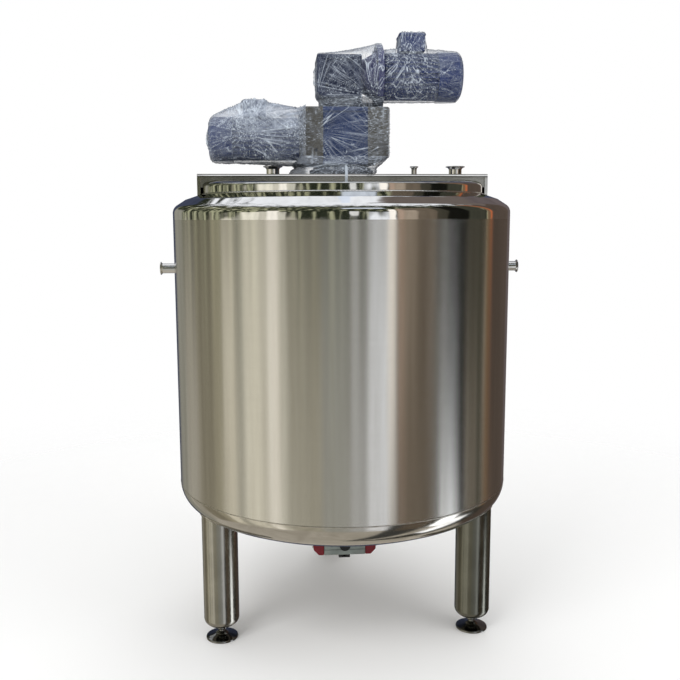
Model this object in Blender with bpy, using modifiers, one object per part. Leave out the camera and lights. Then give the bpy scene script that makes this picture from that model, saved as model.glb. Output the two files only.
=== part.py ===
# Jacketed stainless steel mixing tank on three legs, with two geared motors on a bridge over its mouth
# and a pneumatic valve under its bottom. Metres, +Z up, floor at Z = 0, tank axis on the Z axis, front at -Y.
import math

import bmesh
import bpy
from mathutils import Matrix, Vector

# Clearances
GAP = 0.0003
RUNNING_GAP = 0.0005
TINY_MERGE = 0.00001
CUT_OVER = 0.003

# Faceting
SHELL_STEPS = 48
LEG_STEPS = 24
PIPE_STEPS = 20
SMALL_STEPS = 16
HOLE_STEPS = 12
KNUCKLE_STEPS = 4
CROWN_STEPS = 3

# Jacket, shoulder and bottom head
TANK_RADIUS = 0.650
SHEET = 0.003
JACKET_BOTTOM = 0.560
JACKET_HEIGHT = 1.020
SKIRT_HEIGHT = 0.024
SHOULDER_KNUCKLE = 0.035
SHOULDER_RING_WIDTH = 0.057
SHOULDER_RING_SLOPE = 19
SHOULDER_CONE_SLOPE = 33
HEAD_KNUCKLE = 0.095
HEAD_CROWN = 1.400
JACKET_TOP = JACKET_BOTTOM + JACKET_HEIGHT
SHOULDER_KNUCKLE_Z = JACKET_TOP + SKIRT_HEIGHT

# Inner vessel, its neck and the lids
NECK_INSET = 0.105
NECK_HEIGHT = 0.024
VESSEL_RIM_RISE = 0.040
VESSEL_KNUCKLE = 0.080
VESSEL_CROWN = 1.200
LID_RISE = 0.026
LID_FAR_RISE = 0.004
LID_ROLL = 0.048
LID_EDGE_GAP = 0.003
NECK_RADIUS = TANK_RADIUS - NECK_INSET
VESSEL_RIM_Z = JACKET_BOTTOM + VESSEL_RIM_RISE

# Bridge
BRIDGE_RISE = 0.050
BRIDGE_OVERHANG = 0.001
BRIDGE_WIDTH = 0.280
BRIDGE_PLATE = 0.010
BRIDGE_WEB = 0.008
BRIDGE_LIP = 0.004
BRIDGE_END_PLATE = 0.012
BRIDGE_FOOT_WIDTH = 0.045
BRIDGE_HALF_LENGTH = NECK_RADIUS + BRIDGE_OVERHANG
LID_STRAIGHT_EDGE = BRIDGE_WIDTH / 2 - BRIDGE_LIP + LID_EDGE_GAP

# Pipes and clamp ferrules
PIPE_WALL = 0.0015
FERRULE_FLANGE = 0.0064
FERRULE_HUB_SHARE = 0.35
SIDE_FLARE = 0.003
TOP_FLARE = 0.006
SIDE_PIPE_RADIUS = 0.019
SIDE_FLANGE_RADIUS = 0.02525
SIDE_NOZZLE_DROP = 0.188
SIDE_NOZZLE_REACH = 0.058
SIDE_PIPE_INSIDE = 0.010
TOP_NOZZLE_FROM_EDGE = 0.080
TOP_NOZZLE_HEIGHT = 0.040
LARGE_PIPE_RADIUS = 0.0254
LARGE_FLANGE_RADIUS = 0.0385
LARGE_NOZZLE_INSET = 0.0835
LEFT_NOZZLE_FROM_BOX = 0.114
SMALL_PIPE_RADIUS = 0.0105
SMALL_FLANGE_RADIUS = 0.017
SMALL_NOZZLE_FROM_BOX = 0.124

# Lower geared motor
DRIVE_FLANGE_RADIUS = 0.124
DRIVE_FLANGE_THICKNESS = 0.020
DRIVE_BOSS_RADIUS = 0.098
LOWER_BOX_LEFT = -0.152
LOWER_BOX_RIGHT = 0.172
LOWER_BOX_HEIGHT = 0.212
LOWER_BOX_DEPTH = 0.210
LOWER_BOX_CHAMFER = (0.057, 0.030)
LOWER_SHAFT_HEIGHT = 0.099
LOWER_PANEL_INSET = (0.076, 0.079)
LOWER_PAD_HOLE_INSET = (0.049, 0.048)
LOWER_PAD_HOLE_RISE = 0.052
LOWER_FLANGE_RADIUS = 0.098
LOWER_FLANGE_THICKNESS = 0.012
LOWER_FLANGE_RISE = 0.039
LOWER_MOTOR_RADIUS = 0.080
LOWER_MOTOR_LENGTH = 0.2504
LOWER_COWL_LENGTH = 0.0907
LOWER_TERMINAL_SETBACK = 0.040
LOWER_TERMINAL_LENGTH = 0.085
LOWER_TERMINAL_HEIGHT = 0.060

# Upper geared motor
ADAPTER_RADIUS = 0.082
UPPER_FLANGE_CLEARANCE = 0.006
UPPER_SHAFT_HEIGHT = 0.090
UPPER_BOX_HEIGHT = 0.158
UPPER_BOX_LEFT = -0.096
UPPER_BOX_RIGHT = 0.072
UPPER_BOX_DEPTH = 0.180
UPPER_BOX_CHAMFER = (0.022, 0.020)
UPPER_PANEL_INSET = (0.032, 0.032)
UPPER_PANEL_RISE = 0.062
UPPER_PAD_HOLE_INSET = (0.036, 0.026)
UPPER_PAD_HOLE_RISE = 0.046
UPPER_NECK_RADIUS = 0.064
UPPER_NECK_FLARE = 0.090
UPPER_NECK_STRAIGHT = 0.012
UPPER_NECK_LENGTH = 0.059
UPPER_FLANGE_THICKNESS = 0.023
UPPER_FLANGE_RADIUS = 0.118
UPPER_MOTOR_RADIUS = 0.088
UPPER_MOTOR_LENGTH = 0.2112
UPPER_COWL_LENGTH = 0.0947
UPPER_TERMINAL_SETBACK = 0.0495
UPPER_TERMINAL_LENGTH = 0.094
UPPER_TERMINAL_HEIGHT = 0.068

# Details that both geared motors share
PANEL_DEPTH = 0.006
PANEL_MARGIN = 0.016
PAD_HOLE_RADIUS = 0.007
PAD_HOLE_DEPTH = 0.015
GEARBOX_EDGE = 0.004
FIN_COUNT = 28
FIN_DEPTH = 0.010
FIN_VALLEY_SHARE = 0.42
FIN_FLANK_SHARE = 0.13
FIN_TIP_SHARE = 0.32
COWL_PROUD = 0.0035
COWL_CHAMFER = 0.016
COWL_GROOVES = (0.026, 0.048)
COWL_GROOVE_WIDTH = 0.006
COWL_GROOVE_DEPTH = 0.003
TERMINAL_WIDTH = 0.096
TERMINAL_LID_HEIGHT = 0.014
TERMINAL_LID_PROUD = 0.003
TERMINAL_EDGE = 0.004

# Outlet, butterfly valve and actuator
OUTLET_RADIUS = 0.0254
OUTLET_FLANGE_RADIUS = 0.032
OUTLET_STUB = 0.046
VALVE_HEIGHT = 0.044
VALVE_RADIUS = 0.042
DISC_CLEARANCE = 0.0017
DISC_THICKNESS = 0.006
STEM_RADIUS = 0.006
BRACKET_WIDTH = 0.044
BRACKET_HEIGHT = 0.036
BRACKET_DEPTH = 0.006
BRACKET_WRAP = 0.0084
ACTUATOR_TO_HEAD = 0.001
ACTUATOR_WIDTH = 0.165
ACTUATOR_HEIGHT = 0.092
ACTUATOR_DEPTH = 0.080
ACTUATOR_EDGE = 0.004
ACTUATOR_GROOVE = 0.003
ACTUATOR_GROOVE_OFFSET = 0.023
CAP_LENGTH = 0.042
CAP_CHAMFER = (0.021, 0.022)
CAP_INSET = 0.002
CAP_EDGE = 0.003
INDICATOR_RADIUS = 0.022
INDICATOR_DEPTH = 0.015
INDICATOR_STANDOFF = 0.0053
INDICATOR_BAR = (0.034, 0.010, 0.005)
PORT_BLOCK = (0.045, 0.040, 0.018)
PORT_RADIUS = 0.006
PORT_DEPTH = 0.012

# Legs and feet
LEG_RADIUS = 0.0665
LEG_INSET = 0.092
LEG_BOTTOM = 0.055
LEG_END_ROUND = 0.030
FOOT_RADIUS = 0.060
FOOT_EDGE = 0.008
FOOT_RING_RADIUS = 0.042
FOOT_RING_Z = 0.013
FOOT_SOCKET_RADIUS = 0.018
FOOT_SOCKET_Z = 0.024
SPINDLE_RADIUS = 0.012
NUT_RADIUS = 0.023
NUT_HEIGHT = 0.016
LEG_CIRCLE = TANK_RADIUS - LEG_INSET
LEG_ANGLES = {"front_left": 210, "front_right": 330, "rear": 90}


def clear_scene():
    for item in list(bpy.data.objects):
        bpy.data.objects.remove(item, do_unlink=True)


def new_collection(name):
    collection = bpy.data.collections.new(name)
    bpy.context.scene.collection.children.link(collection)
    return collection


clear_scene()
PARTS = new_collection("mixing_tank")
CUTTERS = new_collection("cutters")


def finish_material(name, colour, metallic, roughness):
    material = bpy.data.materials.new(name)
    material.use_nodes = True
    shader = material.node_tree.nodes["Principled BSDF"]
    shader.inputs["Base Color"].default_value = (*colour, 1.0)
    shader.inputs["Metallic"].default_value = metallic
    shader.inputs["Roughness"].default_value = roughness
    material.diffuse_color = (*colour, 1.0)
    return material


BRUSHED = ("brushed_stainless", (0.52, 0.50, 0.46), 1.0, 0.32)
MIRROR = ("polished_stainless", (0.66, 0.66, 0.65), 1.0, 0.08)
PIPE = ("pipe_stainless", (0.60, 0.59, 0.57), 1.0, 0.22)
BLUE = ("motor_blue", (0.05, 0.10, 0.28), 0.0, 0.40)
GREY = ("casting_grey", (0.22, 0.22, 0.20), 0.3, 0.50)
ALLOY = ("actuator_alloy", (0.34, 0.38, 0.36), 0.6, 0.45)
RED = ("actuator_red", (0.24, 0.02, 0.03), 0.0, 0.40)
BLACK = ("black_plastic", (0.02, 0.02, 0.02), 0.0, 0.45)


def place(name, mesh, finish):
    item = bpy.data.objects.new(name, mesh)
    PARTS.objects.link(item)
    if finish:
        label, colour, metallic, roughness = finish
        mesh.materials.append(finish_material(name + "_" + label, colour, metallic, roughness))
    return item


def as_cutter(item):
    for collection in list(item.users_collection):
        collection.objects.unlink(item)
    CUTTERS.objects.link(item)
    item.hide_render = True
    item.display_type = "WIRE"
    return item


def arc(centre, radii, start, end, count):
    """Points of an elliptical arc in the X-Z plane, angles in degrees from +X towards +Z."""
    points = []
    for index in range(count + 1):
        angle = math.radians(start + (end - start) * index / count)
        points.append((centre[0] + radii[0] * math.cos(angle), centre[1] + radii[1] * math.sin(angle)))
    return points


def turned(name, outline, finish, steps, closed=False):
    """Turns an X-Z outline about Z. The outline runs top to bottom on its outer side."""
    mesh = bpy.data.meshes.new(name)
    edges = [(index, index + 1) for index in range(len(outline) - 1)]
    if closed:
        edges.append((len(outline) - 1, 0))
    mesh.from_pydata([(x, 0.0, z) for x, z in outline], edges, [])
    item = place(name, mesh, finish)
    screw = item.modifiers.new("Turn", "SCREW")
    screw.axis = "Z"
    screw.angle = 2 * math.pi
    screw.steps = steps
    screw.render_steps = steps
    screw.use_merge_vertices = True
    screw.merge_threshold = TINY_MERGE
    screw.use_smooth_shade = True
    return item


def solidify(item, thickness):
    shell = item.modifiers.new("Sheet", "SOLIDIFY")
    shell.thickness = thickness
    shell.offset = -1.0
    shell.use_even_offset = True
    return item


def bevel(item, width, segments=2):
    edge = item.modifiers.new("Edge", "BEVEL")
    edge.width = width
    edge.segments = segments
    edge.limit_method = "ANGLE"
    edge.angle_limit = math.radians(40)
    return item


def boolean(item, cutter, operation="DIFFERENCE"):
    cut = item.modifiers.new(operation.title(), "BOOLEAN")
    cut.operation = operation
    cut.solver = "EXACT"
    cut.object = cutter
    return item


def box(name, low, high, finish):
    """A box between two corners."""
    low, high = Vector(low), Vector(high)
    mesh = bpy.data.meshes.new(name)
    shape = bmesh.new()
    bmesh.ops.create_cube(shape, size=1.0)
    bmesh.ops.scale(shape, vec=high - low, verts=shape.verts)
    bmesh.ops.translate(shape, vec=(low + high) / 2, verts=shape.verts)
    shape.to_mesh(mesh)
    shape.free()
    return place(name, mesh, finish)


def cylinder(name, radius, start, end, finish, steps=SMALL_STEPS):
    """A cylinder from one point to another."""
    start, end = Vector(start), Vector(end)
    mesh = bpy.data.meshes.new(name)
    shape = bmesh.new()
    bmesh.ops.create_cone(
        shape, cap_ends=True, segments=steps, radius1=radius, radius2=radius, depth=(end - start).length
    )
    turn = (end - start).to_track_quat("Z", "Y").to_matrix().to_4x4()
    bmesh.ops.transform(shape, matrix=Matrix.Translation((start + end) / 2) @ turn, verts=shape.verts)
    shape.to_mesh(mesh)
    shape.free()
    return place(name, mesh, finish)


def plate(name, outline, thickness, finish):
    """A flat outline in the local X-Y plane, given thickness along Z, as a mesh."""
    curve = bpy.data.curves.new(name + "_outline", "CURVE")
    curve.dimensions = "2D"
    curve.fill_mode = "BOTH"
    curve.extrude = thickness / 2
    spline = curve.splines.new("POLY")
    spline.points.add(len(outline) - 1)
    for point, (x, y) in zip(spline.points, outline):
        point.co = (x, y, 0.0, 1.0)
    spline.use_cyclic_u = True
    guide = bpy.data.objects.new(name + "_outline", curve)
    PARTS.objects.link(guide)
    evaluated = guide.evaluated_get(bpy.context.evaluated_depsgraph_get())
    mesh = bpy.data.meshes.new_from_object(evaluated)
    bpy.data.objects.remove(guide)
    bpy.data.curves.remove(curve)
    shape = bmesh.new()
    shape.from_mesh(mesh)
    bmesh.ops.remove_doubles(shape, verts=shape.verts, dist=TINY_MERGE)
    bmesh.ops.recalc_face_normals(shape, faces=shape.faces)
    shape.to_mesh(mesh)
    shape.free()
    mesh.name = name
    mesh.materials.clear()
    return place(name, mesh, finish)


def cut_away(item, *cutters):
    for cutter in cutters:
        boolean(item, as_cutter(cutter))
    return item


def dished_outline(radius, rim_z, knuckle, crown, hole):
    """Outer side of a dished end, from its rim down to a centre hole of the given radius."""
    knuckle_x = radius - knuckle
    centre_z = rim_z + math.sqrt((crown - knuckle) ** 2 - knuckle_x**2)
    meeting = math.degrees(math.asin(knuckle_x / (crown - knuckle)))
    inner = math.degrees(math.asin(hole / crown)) if hole else 0.0
    points = arc((knuckle_x, rim_z), (knuckle, knuckle), 0, meeting - 90, KNUCKLE_STEPS)
    points += arc((0.0, centre_z), (crown, crown), meeting - 90, inner - 90, CROWN_STEPS)[1:]
    return points


def dished_shell(radius, rim_z, knuckle, crown, hole):
    """Closed outline of a dished end in sheet: its outer side down, then its inner side up."""
    inside = dished_outline(radius - SHEET, rim_z, knuckle - SHEET, crown - SHEET, hole)
    return dished_outline(radius, rim_z, knuckle, crown, hole) + inside[::-1]


def shoulder_outline(offset):
    """Outer side of the shoulder, moved outwards by an offset: a flatter ring, a steeper cone, a knuckle."""
    round_centre = (TANK_RADIUS - SHOULDER_KNUCKLE, SHOULDER_KNUCKLE_Z)
    round_radius = SHOULDER_KNUCKLE + offset
    steep = 90 - SHOULDER_CONE_SLOPE
    bend = arc(round_centre, (round_radius, round_radius), steep, 0, KNUCKLE_STEPS - 1)
    cone_x, cone_z = bend[0]
    neck_x = NECK_RADIUS + GAP
    ring_x = neck_x + SHOULDER_RING_WIDTH
    ring_z = cone_z + (cone_x - ring_x) * math.tan(math.radians(SHOULDER_CONE_SLOPE))
    neck_z = ring_z + (ring_x - neck_x) * math.tan(math.radians(SHOULDER_RING_SLOPE))
    return [(neck_x, neck_z), (ring_x, ring_z)] + bend + [(TANK_RADIUS + offset, JACKET_TOP + GAP)]


SHOULDER_TOP = shoulder_outline(0.0)[0][1]
NECK_TOP = SHOULDER_TOP + NECK_HEIGHT
BRIDGE_TOP = NECK_TOP + BRIDGE_RISE
LOWER_MOTOR_Z = BRIDGE_TOP + LOWER_FLANGE_RISE + LOWER_FLANGE_RADIUS
LOWER_BOX_BOTTOM = LOWER_MOTOR_Z - LOWER_SHAFT_HEIGHT
LOWER_BOX_TOP = LOWER_BOX_BOTTOM + LOWER_BOX_HEIGHT
UPPER_MOTOR_Z = LOWER_BOX_TOP + UPPER_FLANGE_CLEARANCE + UPPER_FLANGE_RADIUS
UPPER_BOX_BOTTOM = UPPER_MOTOR_Z - UPPER_SHAFT_HEIGHT
UPPER_BOX_TOP = UPPER_BOX_BOTTOM + UPPER_BOX_HEIGHT
HEAD_LOW = dished_outline(TANK_RADIUS, JACKET_BOTTOM, HEAD_KNUCKLE, HEAD_CROWN, 0.0)[-1][1]
VESSEL_LOW = dished_outline(NECK_RADIUS, VESSEL_RIM_Z, VESSEL_KNUCKLE, VESSEL_CROWN, 0.0)[-1][1]
VALVE_Z = HEAD_LOW - ACTUATOR_TO_HEAD - ACTUATOR_HEIGHT / 2
OUTLET_BORE = OUTLET_RADIUS - PIPE_WALL
SIDE_NOZZLE_Z = JACKET_TOP - SIDE_NOZZLE_DROP
SIDE_NOZZLE_TIP = TANK_RADIUS + SIDE_NOZZLE_REACH
TOP_NOZZLE_Y = BRIDGE_WIDTH / 2 - TOP_NOZZLE_FROM_EDGE


def jacket():
    """Brushed outer wall, with a hole for each side pipe."""
    wall = turned(
        "jacket_wall", [(TANK_RADIUS, JACKET_TOP), (TANK_RADIUS, JACKET_BOTTOM)], BRUSHED, SHELL_STEPS
    )
    solidify(wall, SHEET)
    reach = TANK_RADIUS + CUT_OVER
    start, end = (-reach, 0, SIDE_NOZZLE_Z), (reach, 0, SIDE_NOZZLE_Z)
    return cut_away(wall, cylinder("side_holes", SIDE_PIPE_RADIUS + GAP, start, end, None, PIPE_STEPS))


def top_shoulder():
    """Polished top of the jacket, from a short skirt up to the neck."""
    outline = shoulder_outline(0.0) + shoulder_outline(-SHEET)[::-1]
    return turned("top_shoulder", outline, MIRROR, SHELL_STEPS, closed=True)


def bottom_head():
    """Dished bottom with a hole that the outlet pipe passes through."""
    outline = dished_shell(TANK_RADIUS, JACKET_BOTTOM - GAP, HEAD_KNUCKLE, HEAD_CROWN, OUTLET_RADIUS + GAP)
    return turned("bottom_head", outline, BRUSHED, SHELL_STEPS, closed=True)


def inner_vessel():
    """Product vessel with a dished bottom. Its top stands out of the shoulder as the neck."""
    outline = [(NECK_RADIUS, NECK_TOP)]
    outline += dished_shell(NECK_RADIUS, VESSEL_RIM_Z, VESSEL_KNUCKLE, VESSEL_CROWN, OUTLET_BORE)
    outline += [(NECK_RADIUS - SHEET, NECK_TOP)]
    return turned("inner_vessel", outline, MIRROR, SHELL_STEPS, closed=True)


def lid_drum(name, side, radius, low_z, finish):
    """Low drum with a rolled edge, its top sloping down from the bridge to the far side."""
    outline = [(0.0, low_z + LID_RISE)]
    outline += arc((radius - LID_ROLL, low_z), (LID_ROLL, LID_RISE), 90, 0, KNUCKLE_STEPS)
    outline += [(0.0, low_z)]
    guide = turned(name + "_guide", outline, None, SHELL_STEPS)
    evaluated = guide.evaluated_get(bpy.context.evaluated_depsgraph_get())
    mesh = bpy.data.meshes.new(name)
    shape = bmesh.new()
    shape.from_mesh(evaluated.to_mesh())
    bpy.data.objects.remove(guide)
    for vert in shape.verts:
        share = (NECK_RADIUS - side * vert.co.y) / (NECK_RADIUS - LID_STRAIGHT_EDGE)
        rise = LID_FAR_RISE + (LID_RISE - LID_FAR_RISE) * share
        vert.co.z = low_z + (vert.co.z - low_z) * rise / LID_RISE
    bmesh.ops.triangulate(shape, faces=shape.faces)
    bmesh.ops.recalc_face_normals(shape, faces=shape.faces)
    shape.to_mesh(mesh)
    shape.free()
    return place(name, mesh, finish)


def lid(name, side):
    """Half-moon lid in sheet, resting on the neck. side is -1 in front and 1 behind."""
    rest_z = NECK_TOP + GAP
    shell = lid_drum(name, side, NECK_RADIUS, rest_z, MIRROR)
    hollow = lid_drum(name + "_hollow", side, NECK_RADIUS - SHEET, rest_z - SHEET, None)
    straight_edge = side * LID_STRAIGHT_EDGE
    reach = -side * 2 * TANK_RADIUS
    low = (-TANK_RADIUS, min(straight_edge, reach), rest_z - LID_RISE)
    high = (TANK_RADIUS, max(straight_edge, reach), rest_z + 4 * LID_RISE)
    return cut_away(shell, hollow, box(name + "_cut", low, high, None))


def neck_and_shoulder_cutter(name):
    """The space taken by the neck and the shoulder, with the usual gap round it."""
    outline = [(0.0, NECK_TOP + GAP), (NECK_RADIUS + GAP, NECK_TOP + GAP)]
    outline += shoulder_outline(GAP)
    outline += [(0.0, JACKET_TOP + GAP)]
    return turned(name, outline, None, SHELL_STEPS)


def bridge():
    """Beam across the mouth: a top plate on two webs, closed by an end plate with two feet each side."""
    half_width = BRIDGE_WIDTH / 2
    under = BRIDGE_TOP - BRIDGE_PLATE
    low = (-BRIDGE_HALF_LENGTH, -half_width, under)
    high = (BRIDGE_HALF_LENGTH, half_width, BRIDGE_TOP)
    top = box("bridge_top_plate", low, high, PIPE)
    for name, x, radius, _ in top_nozzle_sizes():
        start = (x, TOP_NOZZLE_Y, under - CUT_OVER)
        end = (x, TOP_NOZZLE_Y, BRIDGE_TOP + CUT_OVER)
        cut_away(top, cylinder(name + "_hole", radius + GAP, start, end, None, PIPE_STEPS))
    web_end = BRIDGE_HALF_LENGTH - BRIDGE_END_PLATE - GAP
    for name, side in (("bridge_web_front", -1), ("bridge_web_back", 1)):
        outer = side * (half_width - BRIDGE_LIP)
        inner = side * (half_width - BRIDGE_LIP - BRIDGE_WEB)
        low = (-web_end, min(outer, inner), NECK_TOP + GAP)
        high = (web_end, max(outer, inner), under - GAP)
        box(name, low, high, PIPE)
    for name, side in (("bridge_end_left", -1), ("bridge_end_right", 1)):
        bridge_end(name, side)


def bridge_end(name, side):
    """End plate as a low arch, whose two feet stand on the shoulder beside the neck."""
    edge = BRIDGE_WIDTH / 2
    foot_inner = edge - BRIDGE_FOOT_WIDTH
    low = SHOULDER_KNUCKLE_Z
    crown = NECK_TOP + GAP
    top = BRIDGE_TOP - BRIDGE_PLATE - GAP
    outline = [(-edge, low), (-foot_inner, low), (-foot_inner, crown), (foot_inner, crown)]
    outline += [(foot_inner, low), (edge, low), (edge, top), (-edge, top)]
    end = plate(name, outline, BRIDGE_END_PLATE, PIPE)
    stand = Matrix.Rotation(math.radians(90), 4, "Z") @ Matrix.Rotation(math.radians(90), 4, "X")
    place_x = side * (BRIDGE_HALF_LENGTH - BRIDGE_END_PLATE / 2)
    end.matrix_world = Matrix.Translation((place_x, 0, 0)) @ stand
    cut_away(end, neck_and_shoulder_cutter(name + "_seat"))


def top_nozzle_sizes():
    """Name, X, pipe radius and flange radius of each ferrule on the bridge."""
    large_x = BRIDGE_HALF_LENGTH - LARGE_NOZZLE_INSET
    small_x = LOWER_BOX_RIGHT + SMALL_NOZZLE_FROM_BOX
    left_x = LOWER_BOX_LEFT - LEFT_NOZZLE_FROM_BOX
    return [
        ("top_nozzle_small", small_x, SMALL_PIPE_RADIUS, SMALL_FLANGE_RADIUS),
        ("top_nozzle_large", large_x, LARGE_PIPE_RADIUS, LARGE_FLANGE_RADIUS),
        ("top_nozzle_left", left_x, LARGE_PIPE_RADIUS, LARGE_FLANGE_RADIUS),
    ]


def ferrule(name, length, pipe_radius, flange_radius, flare):
    """Pipe stub up from Z = 0, with a clamp flange at its top whose back slopes down to the pipe."""
    bore = pipe_radius - PIPE_WALL
    hub_radius = pipe_radius + (flange_radius - pipe_radius) * FERRULE_HUB_SHARE
    outline = [
        (bore, length),
        (flange_radius, length),
        (flange_radius, length - FERRULE_FLANGE / 2),
        (hub_radius, length - FERRULE_FLANGE),
        (pipe_radius, length - FERRULE_FLANGE - flare),
        (pipe_radius, 0.0),
        (bore, 0.0),
    ]
    return turned(name, outline, PIPE, PIPE_STEPS, closed=True)


def top_nozzles():
    """Three clamp ferrules that stand up from the bridge plate."""
    for name, x, pipe_radius, flange_radius in top_nozzle_sizes():
        pipe = ferrule(name, TOP_NOZZLE_HEIGHT + BRIDGE_PLATE, pipe_radius, flange_radius, TOP_FLARE)
        pipe.location = (x, TOP_NOZZLE_Y, BRIDGE_TOP - BRIDGE_PLATE)


def side_nozzles():
    """Jacket connections, one on each side, through the wall."""
    length = SIDE_NOZZLE_REACH + SHEET + SIDE_PIPE_INSIDE
    for name, side in (("side_nozzle_left", -1), ("side_nozzle_right", 1)):
        pipe = ferrule(name, length, SIDE_PIPE_RADIUS, SIDE_FLANGE_RADIUS, SIDE_FLARE)
        lay_along_x(pipe, side * (SIDE_NOZZLE_TIP - length), SIDE_NOZZLE_Z, side)


def lay_along_x(item, x, z, side):
    """Lays a piece turned about Z along X. Its local +Z then points to +X or, with side -1, to -X."""
    item.rotation_euler = (0, side * math.radians(90), 0)
    item.location = (x, 0, z)


def finned_outline(radius):
    """Cross section of a motor body with cooling ribs."""
    flank_top = FIN_VALLEY_SHARE + FIN_FLANK_SHARE
    root = radius - FIN_DEPTH
    shares = ((0.0, root), (FIN_VALLEY_SHARE, root), (flank_top, radius), (flank_top + FIN_TIP_SHARE, radius))
    pitch = 2 * math.pi / FIN_COUNT
    points = []
    for index in range(FIN_COUNT):
        for share, distance in shares:
            angle = (index + share) * pitch
            points.append((distance * math.cos(angle), distance * math.sin(angle)))
    return points


def motor(name, radius, start, length, cowl_length, z, side):
    """Ribbed motor body and its fan cowl, lying along X from start towards side. Returns the body's end."""
    end = start + side * length
    body = plate(name + "_motor_body", finned_outline(radius), length, BLUE)
    body.rotation_euler = (0, math.radians(90), 0)
    body.location = ((start + end) / 2, 0, z)
    rim = radius + COWL_PROUD
    outline = [(0.0, cowl_length)]
    for groove in COWL_GROOVES:
        outline += [
            (groove, cowl_length),
            (groove, cowl_length - COWL_GROOVE_DEPTH),
            (groove + COWL_GROOVE_WIDTH, cowl_length - COWL_GROOVE_DEPTH),
            (groove + COWL_GROOVE_WIDTH, cowl_length),
        ]
    outline += [(rim - COWL_CHAMFER, cowl_length), (rim, cowl_length - COWL_CHAMFER), (rim, 0.0), (0.0, 0.0)]
    cowl = turned(name + "_fan_cowl", outline, BLUE, LEG_STEPS)
    lay_along_x(cowl, end + side * GAP, z, side)
    return end


def terminal_box(name, left, length, low_z, height):
    """Cable box on a motor: a plain body under a lid that stands a little proud of it."""
    half_width = TERMINAL_WIDTH / 2
    proud = TERMINAL_LID_PROUD
    lid_low = low_z + height - TERMINAL_LID_HEIGHT
    body = box(name, (left, -half_width, low_z), (left + length, half_width, lid_low + proud), BLUE)
    low = (left - proud, -half_width - proud, lid_low)
    high = (left + length + proud, half_width + proud, low_z + height)
    boolean(body, as_cutter(bevel(box(name + "_lid", low, high, None), TERMINAL_EDGE, 1)), "UNION")


def gearbox(name, outline, depth, panel, holes):
    """Cast gear housing with a sunk panel and bolt holes in its front and back faces."""
    body = plate(name, outline, depth, BLUE)
    body.rotation_euler = (math.radians(90), 0, 0)
    bevel(body, GEARBOX_EDGE, 1)
    left, right, low, high = panel
    for face_name, side in (("front", -1), ("back", 1)):
        face = side * depth / 2
        inner = face - side * PANEL_DEPTH
        outer = face + side * CUT_OVER
        panel_low = (left, min(inner, outer), low)
        panel_high = (right, max(inner, outer), high)
        cut_away(body, box(f"{name}_{face_name}_panel", panel_low, panel_high, None))
        for index, (x, z) in enumerate(holes):
            start = (x, face - side * PAD_HOLE_DEPTH, z)
            end = (x, face + side * CUT_OVER, z)
            hole_name = f"{name}_{face_name}_hole_{index}"
            cut_away(body, cylinder(hole_name, PAD_HOLE_RADIUS, start, end, None, HOLE_STEPS))


def lower_drive():
    """Geared motor that stands on the bridge, its motor to the left."""
    foot = LOWER_BOX_BOTTOM - GAP
    base = BRIDGE_TOP + GAP
    shelf = base + DRIVE_FLANGE_THICKNESS
    outline = [(0.0, foot), (DRIVE_BOSS_RADIUS, foot), (DRIVE_BOSS_RADIUS, shelf)]
    outline += [(DRIVE_FLANGE_RADIUS, shelf), (DRIVE_FLANGE_RADIUS, base), (0.0, base)]
    turned("drive_flange", outline, GREY, LEG_STEPS)
    run, rise = LOWER_BOX_CHAMFER
    housing = [
        (LOWER_BOX_LEFT, LOWER_BOX_BOTTOM),
        (LOWER_BOX_RIGHT - run, LOWER_BOX_BOTTOM),
        (LOWER_BOX_RIGHT, LOWER_BOX_BOTTOM + rise),
        (LOWER_BOX_RIGHT, LOWER_BOX_TOP),
        (LOWER_BOX_LEFT, LOWER_BOX_TOP),
    ]
    panel = (
        LOWER_BOX_LEFT + LOWER_PANEL_INSET[0],
        LOWER_BOX_RIGHT - LOWER_PANEL_INSET[1],
        LOWER_BOX_BOTTOM + PANEL_MARGIN,
        LOWER_BOX_TOP - PANEL_MARGIN,
    )
    hole_z = LOWER_BOX_BOTTOM + LOWER_PAD_HOLE_RISE
    holes = [
        (LOWER_BOX_LEFT + LOWER_PAD_HOLE_INSET[0], hole_z),
        (LOWER_BOX_RIGHT - LOWER_PAD_HOLE_INSET[1], hole_z),
    ]
    gearbox("lower_gearbox", housing, LOWER_BOX_DEPTH, panel, holes)
    flange_start = LOWER_BOX_LEFT - GAP
    flange_end = flange_start - LOWER_FLANGE_THICKNESS
    start, end = (flange_start, 0, LOWER_MOTOR_Z), (flange_end, 0, LOWER_MOTOR_Z)
    cylinder("lower_motor_flange", LOWER_FLANGE_RADIUS, start, end, GREY, LEG_STEPS)
    body_start = flange_end - GAP
    body_end = motor(
        "lower", LOWER_MOTOR_RADIUS, body_start, LOWER_MOTOR_LENGTH, LOWER_COWL_LENGTH, LOWER_MOTOR_Z, -1
    )
    terminal_box(
        "lower_terminal_box",
        body_end + LOWER_TERMINAL_SETBACK,
        LOWER_TERMINAL_LENGTH,
        LOWER_MOTOR_Z + LOWER_MOTOR_RADIUS + GAP,
        LOWER_TERMINAL_HEIGHT,
    )


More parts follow.
